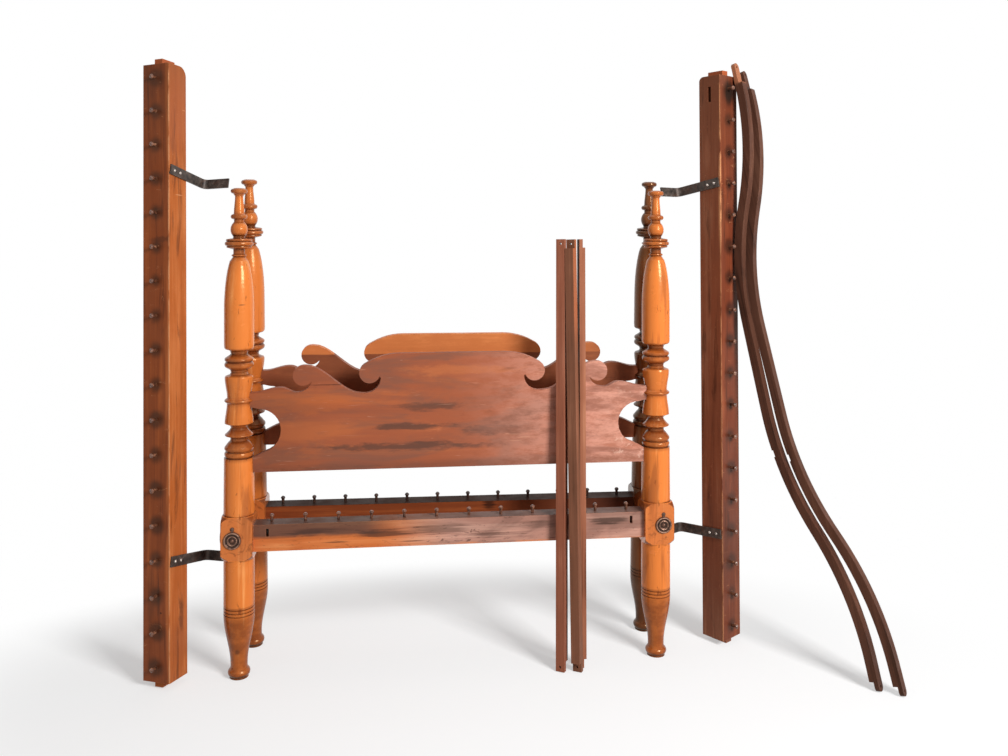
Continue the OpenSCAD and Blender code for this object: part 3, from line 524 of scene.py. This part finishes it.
# Over a side rail's lower shoulder: its first peg, the spacing of the pegs and its upper shoulder
FIRST_PEG = 0.042
PEG_SPACING = 0.103
UPPER_SHOULDER = 1.8352

# Where the middle of the peg face lies across each rail, from its arris
PEG_LINE = {"left": -0.0465, "right": 0.0465}


def side_rail_marks(side):
    """Marks of the strap face and of the peg face."""
    bare = bpy.context.scene.rope_bed_woods.bare
    if side == "left":
        splinters_and_rubbing = (
            (0.070, 1.700, 0.010, 0.0014, 0.8, bare),
            (0.048, 1.436, 0.018, 0.0016, 0.8, bare),
            (0.040, 1.700, 0.050, 0.150, 0.35, seen(176, 96, 62)),
            (0.045, 0.10, 0.05, 0.08, 0.35, seen(150, 78, 40)),
        )
        stains_and_hole = (
            (-0.020, 1.30, 0.05, 0.010, 0.5, seen(60, 30, 20)),
            (-0.06, 0.24, 0.02, 0.10, 0.4, seen(70, 36, 22)),
            # A hole, dark with painted shade.
            (-0.03, 0.20, 0.004, 0.004, 0.9, seen(30, 14, 10)),
        )
        return splinters_and_rubbing, stains_and_hole
    rubbing = (
        (0.050, 1.58, 0.012, 0.060, 0.35, seen(168, 108, 80)),
        (0.030, 0.20, 0.060, 0.30, 0.35, seen(92, 54, 42)),
        (0.062, 1.30, 0.010, 0.28, 0.35, seen(150, 92, 66)),
    )
    nut_slot_and_foot = (
        # The nut slot, near black with the painted shade inside it.
        (0.052, 1.778, 0.034, 0.042, 0.92, seen(24, 16, 14)),
        (0.046, 0.30, 0.06, 0.34, 0.35, seen(76, 42, 34)),
    )
    return rubbing, nut_slot_and_foot


def side_rail_faces(paint, side, figure, streaks, arris):
    """The colours of the peg face and the strap face."""
    woods = bpy.context.scene.rope_bed_woods
    if side == "right":
        return (paint.tones(figure, seen(70, 32, 20), woods.right_rail, seen(148, 78, 48)),
                paint.tones(figure, seen(96, 48, 32), woods.right_strap_face, seen(156, 102, 76)))
    # Left rail: the peg face's darker tone is partly painted shade, the strap face's brighter tone partly
    # painted light.
    peg_face = paint.tones(figure, seen(92, 40, 20), woods.left_rail, seen(176, 92, 46), (0.34, 0.48, 0.66))
    glow = paint.times(paint.step(arris, 0.017, 0.009), paint.step(streaks, 0.42, 0.56))
    peg_face = paint.lay(peg_face, glow, 0.7, seen(196, 108, 56))
    return peg_face, paint.tones(figure, seen(140, 68, 28), woods.left_strap_face, seen(204, 122, 68))


def peg_darkening(paint, across, up, side, patches):
    """1 at each peg of a side rail and 0 away from it, over a reach that the patches make uneven."""
    along = paint.math("SUBTRACT", up, FIRST_PEG - PEG_SPACING / 2)
    phase = paint.math("FRACT", paint.math("DIVIDE", along, PEG_SPACING))
    lift = paint.times(paint.math("SUBTRACT", phase, 0.5), PEG_SPACING)
    aside = paint.math("SUBTRACT", across, PEG_LINE[side])
    squares = [paint.math("POWER", value, 2.0) for value in (lift, aside)]
    reach = paint.math("SQRT", paint.math("ADD", *squares))
    reach = paint.math("ADD", reach, paint.spread(patches, 0.04))
    return paint.step(reach, 0.034, 0.010)


def lay_bare(paint, base, where, seed, side, arris):
    """Bares the wood along the arris between the peg face and the strap face, at the other edges
    and in scratches."""
    bare = bpy.context.scene.rope_bed_woods.bare
    _, deep, up = paint.parts(where)
    chips = paint.step(paint.streak(where, (30, 30, 9), (seed, 0, 0), 4, 0.6), 0.38, 0.54)
    off_arris = paint.math("MAXIMUM", arris, deep)
    arris_line = paint.step(off_arris, 0.0042, 0.0016)
    if side == "right":
        rubbed = paint.band(up, 1.30, 1.64, 0.05)
        wide_line = paint.times(paint.step(off_arris, 0.0085, 0.003), rubbed)
        arris_line = paint.math("MAXIMUM", arris_line, wide_line)
        chips = paint.times(chips, paint.math("ADD", paint.times(rubbed, 0.45), 0.55))
    base = paint.lay(base, paint.times(arris_line, chips), 0.85, bare)
    base = paint.lay(base, paint.times(paint.worn(0.0022), 0.45), chips, bare)
    scratch = paint.streak(where, (8, 70, 30), (seed * 2, 1, 4), 2, 0.5, 2.5)
    return paint.lay(base, paint.band(scratch, 0.695, 0.705, 0.004), 0.5, bare)


def side_rail_wood(name, seed, side, place, rotation):
    """Darker about its pegs and toward its upper end, and worn bare at its edges."""
    paint = new_paint(name)
    where = paint.place(place, rotation)
    across, deep, up = paint.parts(where)
    fibres, streaks, patches = grain(paint, where, "Z", seed)
    figure = mixed(paint, (fibres, 0.32), (streaks, 0.46), (patches, 0.26))
    on_strap_face = paint.step(deep, 0.0006, 0.0016)
    arris = paint.math("ABSOLUTE", across)
    peg_face, strap_face = side_rail_faces(paint, side, figure, streaks, arris)
    base = paint.mix(on_strap_face, peg_face, strap_face)
    dark = paint.streak(where, (34, 34, 3.2), (seed, 7, 1), 5, 0.65, 0.8)
    base = paint.lay(base, paint.step(dark, 0.54, 0.68), 0.6, seen(58, 30, 20))
    on_peg_face = paint.math("SUBTRACT", 1.0, on_strap_face)
    # Darkens the peg face about each peg.
    darker_patch = paint.times(peg_darkening(paint, across, up, side, patches), on_peg_face)
    base = paint.lay(base, darker_patch, 0.72, seen(38, 20, 14))
    base = paint.lay(base, paint.step(up, 1.40, 1.84), 0.40, seen(86, 46, 30))
    tenon = paint.step(up, UPPER_SHOULDER, UPPER_SHOULDER + 0.0004)
    base = paint.lay(base, tenon, 0.8, seen(176, 88, 50))
    wander = paint.spread(fibres, 1.4)
    strap_marks, peg_marks = side_rail_marks(side)
    strap_face = lay_marks(paint, base, where, wander, strap_marks, side_face=True)
    peg_face = lay_marks(paint, base, where, wander, peg_marks)
    base = paint.mix(on_strap_face, peg_face, strap_face)
    base = lay_bare(paint, base, where, seed, side, arris)
    rough = paint.polish(paint.noise(where, 12, 4), 0.36, 0.56)
    return paint.finish_wood(base, rough, figure, 0.0008, 0.3)


def peg_wood(name, seed, darker=0.0):
    """Handled pegs with a little gloss, with painted shade where they meet the rail."""
    woods = bpy.context.scene.rope_bed_woods
    paint = new_paint(name)
    patches = paint.blotch(paint.place(), (seed, 0, 0), 90, 4, 0.6)
    base = paint.tones(patches, seen(58, 32, 22), woods.peg, seen(170, 120, 92), (0.32, 0.52, 0.70))
    # Painted shade where a peg meets the rail and in its creases.
    base = paint.lay(base, paint.hollow(0.008), 0.7, seen(30, 18, 14))
    base = paint.lay(base, paint.worn(0.002), 0.45, seen(196, 146, 118))
    if darker:
        base = paint.mix(darker, base, seen(30, 20, 17))
    rough = paint.polish(patches, 0.28, 0.42)
    return paint.finish(base, rough, patches, 0.0004, Coat_Weight=0.3, Coat_Roughness=0.2)


# ---- Canopy ----

CANOPY_STOPS = (0.34, 0.50, 0.70)
CANOPY_LENGTH = 1.956


def canopy_figure(paint, where, seed, fineness):
    fibres, streaks, patches = grain(paint, where, "Z", seed, fineness)
    return mixed(paint, (fibres, 0.34), (streaks, 0.42), (patches, 0.26))


def canopy_wood(name, seed, inner, place, rotation):
    """Darkened wood: the inner rail ends in a bare tongue and the outer one in a black ring."""
    woods = bpy.context.scene.rope_bed_woods
    paint = new_paint(name)
    where = paint.place(place, rotation)
    up = paint.parts(where)[2]
    figure = canopy_figure(paint, where, seed, 1.4)
    base = paint.tones(figure, woods.canopy_dark, woods.canopy, seen(112, 74, 58), CANOPY_STOPS)
    if inner:
        tongue = paint.step(up, CANOPY_LENGTH - 0.082, CANOPY_LENGTH - 0.066)
        base = paint.lay(base, tongue, 0.8, seen(176, 112, 80))
    else:
        ring = paint.band(up, CANOPY_LENGTH - 0.075, CANOPY_LENGTH - 0.062, 0.004)
        base = paint.lay(base, ring, 0.75, seen(46, 34, 30))
    base = paint.lay(base, paint.worn(0.0016), 0.4, seen(116, 82, 66))
    rough = paint.polish(paint.noise(where, 18, 4), 0.5, 0.7)
    return paint.finish_wood(base, rough, figure, 0.0009, 0.15)


def bar_wood(name, seed, bar, place, rotation):
    """Red brown bars: the right one has a strip of painted light at its top and the middle one a side of
    painted shade.
    """
    woods = bpy.context.scene.rope_bed_woods
    paint = new_paint(name)
    where = paint.place(place, rotation)
    across, _, up = paint.parts(where)
    figure = canopy_figure(paint, where, seed, 1.5)
    tones = {
        "left": (seen(96, 54, 40), woods.bar_left, seen(182, 118, 92)),
        "right": (seen(84, 56, 42), woods.bar_right, seen(160, 108, 82)),
        "middle": (seen(98, 56, 40), woods.bar_middle, seen(186, 126, 96)),
    }[bar]
    base = paint.tones(figure, *tones, CANOPY_STOPS)
    if bar == "right":
        # Painted light: a lit strip on the upper end of the right bar's side face.
        strip = paint.times(paint.step(across, 0.0125, 0.0136), paint.step(up, 0.95, 1.10))
        base = paint.lay(base, strip, 0.8, seen(178, 104, 70))
    if bar == "middle":
        # Painted shade on one side face of the middle bar.
        base = paint.lay(base, paint.step(across, -0.0085, -0.0096), 0.85, seen(36, 26, 23))
    base = paint.lay(base, paint.worn(0.0014), 0.35, seen(170, 118, 94))
    rough = paint.polish(paint.noise(where, 18, 4), 0.48, 0.68)
    return paint.finish_wood(base, rough, figure, 0.0009, 0.15)


# ---- Metals ----

def strap_iron(name):
    """Forged iron, blotched and a little rusty."""
    metals = bpy.context.scene.rope_bed_metals
    paint = new_paint(name)
    where = paint.place()
    scale = paint.noise(where, 55, 6, 0.65)
    rust = paint.step(paint.noise(where, 21, 5, 0.65, 0.8), 0.5, 0.68)
    base = paint.tones(scale, seen(52, 46, 43), metals.iron, seen(112, 98, 90), (0.34, 0.52, 0.72))
    base = paint.lay(base, rust, 0.5, metals.rust)
    base = paint.lay(base, paint.worn(0.0012), 0.4, metals.iron_light)
    return paint.finish(base, paint.polish(scale, 0.44, 0.66), scale, 0.0005, Metallic=0.55)


def nail_iron(name, bright):
    metals = bpy.context.scene.rope_bed_metals
    paint = new_paint(name)
    scale = paint.noise(paint.place(), 140, 5, 0.6)
    base = paint.tones(scale, metals.iron, bright, bright, (0.34, 0.60, 0.80))
    base = paint.lay(base, paint.worn(0.001), 0.4, seen(214, 204, 196))
    return paint.finish(base, paint.polish(scale, 0.28, 0.45), scale, 0.0003, Metallic=0.7)


def cover_bronze(name, centre, seed):
    """Turned bronze: bright on the raised rings and the centre, partly rubbed and partly a painted highlight,
    dark in the hollows between them.
    """
    metals = bpy.context.scene.rope_bed_metals
    paint = new_paint(name)
    where = paint.place(centre)
    patina = paint.blotch(where, (seed, 0, 0), 120, 5, 0.65)
    radius = paint.length(where)
    base = paint.tones(patina, seen(50, 36, 30), metals.bronze, seen(124, 92, 74), (0.32, 0.52, 0.74))
    outer_ring = paint.band(radius, 0.0215, 0.0242, 0.0008)
    inner_ring = paint.band(radius, 0.0124, 0.0142, 0.0006)
    point = paint.step(radius, 0.0035, 0.0012)
    rings = paint.math("ADD", paint.math("ADD", outer_ring, inner_ring), point, clamp=True)
    # The bright rings and centre are partly rubbed metal and partly a painted highlight.
    rubbed = paint.times(rings, paint.step(patina, 0.36, 0.6, 0.25, 0.8))
    base = paint.mix(rubbed, base, metals.bronze_light)
    outer_hollow = paint.band(radius, 0.0156, 0.0190, 0.0008)
    inner_hollow = paint.band(radius, 0.0072, 0.0104, 0.001)
    hollows = paint.math("ADD", outer_hollow, inner_hollow)
    base = paint.mix(paint.times(hollows, 0.7, clamp=True), base, seen(30, 22, 19))
    return paint.finish(base, paint.polish(patina, 0.30, 0.50), patina, 0.0003, Metallic=0.75)


# ---- Stage ----

# Name, place, target, width and power of each lamp
LAMPS = (
    ("key", (3.1, -3.4, 2.7), (0.6, 0.1, 0.7), 1.4, 212),
    ("fill", (-2.4, -2.6, 2.0), (0.3, 0.0, 0.8), 1.6, 3),
    ("top", (0.9, 0.7, 3.8), (0.6, 0.3, 0.0), 3.0, 26),
)
WORLD_STRENGTH = 0.15
FLOOR_SIZE = 40
FLOOR_MIDDLE = (0.65, 3, 0)

# The middle of the ground that shows the bed's shadow, which is an oval
SHADOW_MIDDLE = (0.65, -0.1, 0)
SHADOW_OVAL = (0.72, 1.3, 0)


def floor_white():
    """White ground that keeps the bed's shadow and goes over into the white background."""
    paint = new_paint("floor_white")
    where = paint.place(SHADOW_MIDDLE)
    distance = paint.length(paint.stretch(where, SHADOW_OVAL))
    far = paint.step(distance, 0.8, 1.35)
    near_share = paint.step(paint.noise(where, 30, 2), 0, 1, 0.44, 0.46)
    matt = paint.add("ShaderNodeBsdfDiffuse", {"Color": (0.9, 0.9, 0.9, 1), "Roughness": 0.6})
    bright = paint.add("ShaderNodeEmission", {"Color": (1, 1, 1, 1), "Strength": 1.0})
    share = paint.math("ADD", paint.times(far, 0.55), near_share, clamp=True)
    share = paint.times(share, paint.direct())
    both = paint.add("ShaderNodeMixShader", {0: share, 1: matt.outputs[0], 2: bright.outputs[0]})
    paint.add("ShaderNodeOutputMaterial", {"Surface": both.outputs[0]})
    return paint.owner


def white_world():
    """White where it is seen, and a weak even light on the bed."""
    paint = Paint(bpy.data.worlds.new("studio"))
    strength = paint.step(paint.direct(), 0, 1, WORLD_STRENGTH, 1.0, straight=True)
    shade = paint.add("ShaderNodeBackground", {"Color": (1, 1, 1, 1), "Strength": strength})
    paint.add("ShaderNodeOutputWorld", {"Surface": shade.outputs[0]})
    return paint.owner


# ---- Dressing ----

def dress(node, material):
    """Gives a CAD node its finish."""
    piece = NODES[node]
    piece.data.materials.clear()
    piece.data.materials.append(material)
    for face in piece.data.polygons:
        face.material_index = 0


def turned(*steps):
    """Euler angles of a piece that is turned by these steps of axis and degrees, one after the other."""
    matrix = Matrix.Identity(3)
    for axis, degrees in steps:
        matrix = Matrix.Rotation(math.radians(degrees), 3, axis) @ matrix
    return tuple(matrix.to_euler("XYZ"))


# Where the foot end and the head end stand: the left post and turn of each, and the right post
FOOT_PLACE = (0, 0, 0)
FOOT_RIGHT = (1.292, 0, 0)
HEAD_PLACE = (0.010, 0.215, 0.0016)
HEAD_TURN = turned(("X", 3.2), ("Z", -1.2))
HEAD_RIGHT = (1.3017, 0.1879, 0.0016)

FOOT_POST_TALL = 1.474
HEAD_POST_TALL = 1.510

# How high the middle of a hanging bolt cover lies over its lowest point
COVER_MIDDLE = 0.0255


class ROPEBED_OT_posts(bpy.types.Operator):
    """Varnish the four turned posts"""
    bl_idname = "rope_bed.posts"
    bl_label = "Posts"

    def execute(self, context):
        posts = {
            # The fourth value darkens a post: a darker finish, and on the head posts, which stand behind,
            # painted shade as well.
            "foot_post_left": (FOOT_PLACE, UNTURNED, FOOT_POST_TALL, 0.0, FOOT_POST_MARKS),
            "foot_post_right": (FOOT_RIGHT, UNTURNED, FOOT_POST_TALL, 0.03),
            "head_post_left": (HEAD_PLACE, HEAD_TURN, HEAD_POST_TALL, 0.12),
            "head_post_right": (HEAD_RIGHT, HEAD_TURN, HEAD_POST_TALL, 0.78),
        }
        for seed, (node, settings) in enumerate(posts.items(), 1):
            dress(node, post_wood(node + "_maple", float(seed), *settings))
        return {"FINISHED"}


class ROPEBED_OT_boards(bpy.types.Operator):
    """Finish the two scrolled end boards"""
    bl_idname = "rope_bed.boards"
    bl_label = "End boards"

    def execute(self, context):
        dress("foot_board", board_wood("foot_board_wood", 2.0, foot_board_coat, FOOT_PLACE, UNTURNED))
        dress("head_board", board_wood("head_board_wood", 5.0, head_board_coat, HEAD_PLACE, HEAD_TURN))
        return {"FINISHED"}


class ROPEBED_OT_end_rails(bpy.types.Operator):
    """Finish the two end rails and their pegs"""
    bl_idname = "rope_bed.end_rails"
    bl_label = "End rails"

    def execute(self, context):
        dress("foot_rail", end_rail_wood(
            "foot_rail_wood", 1.0, foot_rail_coat, seen(214, 146, 108), 0.3, FOOT_PLACE, UNTURNED))
        dress("head_rail", end_rail_wood(
            "head_rail_wood", 4.0, head_rail_coat, seen(120, 66, 40), 0.08, HEAD_PLACE, HEAD_TURN))
        dress("foot_rail_pegs", peg_wood("foot_peg_wood", 1.0))
        dress("head_rail_pegs", peg_wood("head_peg_wood", 2.0, 0.75))
        return {"FINISHED"}


class ROPEBED_OT_side_rails(bpy.types.Operator):
    """Finish the two side rails and their pegs"""
    bl_idname = "rope_bed.side_rails"
    bl_label = "Side rails"

    def execute(self, context):
        rails = {
            "left": (1.0, 3.0, (-0.184, -0.078, 0.0234), (("Z", -25), ("X", -3.3), ("Y", -0.9))),
            "right": (3.0, 4.0, (1.521, 0.017, 0.0181), (("Z", 34.5), ("Y", -0.4))),
        }
        for side, (seed, peg_seed, place, steps) in rails.items():
            rail = side_rail_wood(f"{side}_rail_wood", seed, side, place, turned(*steps))
            dress(f"{side}_side_rail", rail)
            dress(f"{side}_rail_pegs", peg_wood(f"{side}_peg_wood", peg_seed))
        return {"FINISHED"}


class ROPEBED_OT_straps(bpy.types.Operator):
    """Finish the iron hanger straps and their nails"""
    bl_idname = "rope_bed.straps"
    bl_label = "Hanger straps"

    def execute(self, context):
        iron = strap_iron("strap_iron")
        heads = nail_iron("strap_nail_iron", context.scene.rope_bed_metals.strap_nail)
        for side in SIDES:
            for height in ("upper", "lower"):
                dress(f"{side}_strap_{height}", iron)
            dress(f"{side}_strap_nails", heads)
        return {"FINISHED"}


class ROPEBED_OT_covers(bpy.types.Operator):
    """Finish the eight bolt covers and the nails they hang on"""
    bl_idname = "rope_bed.covers"
    bl_label = "Bolt covers"

    def execute(self, context):
        covers = [node for node in NODES if node.endswith("_cover")]
        for seed, node in enumerate(sorted(covers)):
            low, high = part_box(node)
            middle = (low + high) / 2
            centre = (middle.x, middle.y, low.z + COVER_MIDDLE)
            dress(node, cover_bronze(node + "_bronze", centre, seed))
        nails = nail_iron("cover_nail_iron", context.scene.rope_bed_metals.cover_nail)
        for end in ENDS:
            dress(end + "_cover_nails", nails)
        return {"FINISHED"}


class ROPEBED_OT_bolts(bpy.types.Operator):
    """Finish the bed bolts and their nuts inside the ends"""
    bl_idname = "rope_bed.bolts"
    bl_label = "Bed bolts"

    def execute(self, context):
        iron = strap_iron("bolt_iron")
        for end in ENDS:
            dress(end + "_bed_bolts", iron)
            dress(end + "_bolt_nuts", iron)
        return {"FINISHED"}


class ROPEBED_OT_canopy(bpy.types.Operator):
    """Finish the two curved canopy rails and the three straight bars"""
    bl_idname = "rope_bed.canopy"
    bl_label = "Canopy"

    def execute(self, context):
        rails = {
            "inner": (1, (1.8698, -0.3043, 0.004), (("Z", 131), ("X", -10.82), ("Y", -8.65))),
            "outer": (2, (1.9234, -0.3392, 0.004), (("Z", 135.1), ("X", -13.08), ("Y", -9))),
        }
        for rail, (seed, place, steps) in rails.items():
            node = "canopy_rail_" + rail
            dress(node, canopy_wood(node + "_wood", seed, rail == "inner", place, turned(*steps)))
        bars = {
            "left": (1, (0.9748, -0.0766, 0), (("Z", -32), ("X", -2.91), ("Y", 0.55))),
            "right": (2, (1.0198, -0.0926, 0), (("Z", -32), ("X", -2.91), ("Y", -0.36))),
            "middle": (3, (1.0428, -0.0601, 0), (("Z", 8), ("X", -2.22), ("Y", 0.26))),
        }
        for bar, (seed, place, steps) in bars.items():
            node = "canopy_bar_" + bar
            dress(node, bar_wood(node + "_wood", seed, bar, place, turned(*steps)))
        return {"FINISHED"}


class ROPEBED_OT_stage(bpy.types.Operator):
    """Lay the floor, hang the lamps and set up the camera"""
    bl_idname = "rope_bed.stage"
    bl_label = "Stage"

    def execute(self, context):
        scene = context.scene
        bpy.ops.object.select_all(action="DESELECT")
        bpy.ops.mesh.primitive_plane_add(size=FLOOR_SIZE, location=FLOOR_MIDDLE)
        floor = context.active_object
        floor.name = "floor"
        bpy.ops.object.transform_apply(location=True, rotation=True, scale=True)
        floor.data.materials.append(floor_white())
        for name, place, target, width, power in LAMPS:
            lamp = bpy.data.lights.new(name, "AREA")
            lamp.shape = "SQUARE"
            lamp.size = width
            lamp.energy = power
            holder = bpy.data.objects.new(name, lamp)
            holder.location = place
            holder.rotation_euler = (Vector(target) - Vector(place)).to_track_quat("-Z", "Y").to_euler()
            scene.collection.objects.link(holder)
        scene.world = white_world()
        self.set_camera(scene)
        scene.view_settings.view_transform = "Standard"
        return {"FINISHED"}

    def set_camera(self, scene):
        settings = scene.rope_bed_stage
        lens = bpy.data.cameras.new("camera")
        lens.sensor_width = 36
        lens.lens = settings.lens
        lens.shift_y = settings.drop
        lens.clip_end = 100
        camera = bpy.data.objects.new("camera", lens)
        camera.location = settings.eye
        camera.rotation_euler = (math.radians(90), 0, settings.turn)
        scene.collection.objects.link(camera)
        scene.camera = camera


STEPS = ("posts", "boards", "end_rails", "side_rails", "straps", "covers", "bolts", "canopy", "stage")


class ROPEBED_PT_panel(bpy.types.Panel):
    """Everything that dresses the bed"""
    bl_idname = "ROPEBED_PT_panel"
    bl_label = "Rope Bed"
    bl_space_type = "VIEW_3D"
    bl_region_type = "UI"
    bl_category = "Rope Bed"

    def draw(self, context):
        scene = context.scene
        for group in (scene.rope_bed_woods, scene.rope_bed_metals, scene.rope_bed_stage):
            box = self.layout.box()
            for name in group.__annotations__:
                box.prop(group, name)
        for step in STEPS:
            self.layout.operator("rope_bed." + step)


CLASSES = (
    RopeBedWoods, RopeBedMetals, RopeBedStage,
    ROPEBED_OT_posts, ROPEBED_OT_boards, ROPEBED_OT_end_rails, ROPEBED_OT_side_rails, ROPEBED_OT_straps,
    ROPEBED_OT_covers, ROPEBED_OT_bolts, ROPEBED_OT_canopy, ROPEBED_OT_stage, ROPEBED_PT_panel,
)


def register():
    for item in CLASSES:
        bpy.utils.register_class(item)
    bpy.types.Scene.rope_bed_woods = bpy.props.PointerProperty(type=RopeBedWoods)
    bpy.types.Scene.rope_bed_metals = bpy.props.PointerProperty(type=RopeBedMetals)
    bpy.types.Scene.rope_bed_stage = bpy.props.PointerProperty(type=RopeBedStage)


def unregister():
    del bpy.types.Scene.rope_bed_stage
    del bpy.types.Scene.rope_bed_metals
    del bpy.types.Scene.rope_bed_woods
    for item in reversed(CLASSES):
        bpy.utils.unregister_class(item)


def main():
    register()
    for step in STEPS:
        if getattr(bpy.ops.rope_bed, step)() != {"FINISHED"}:
            raise RuntimeError("the step did not finish: " + step)


if __name__ == "__main__":
    main()
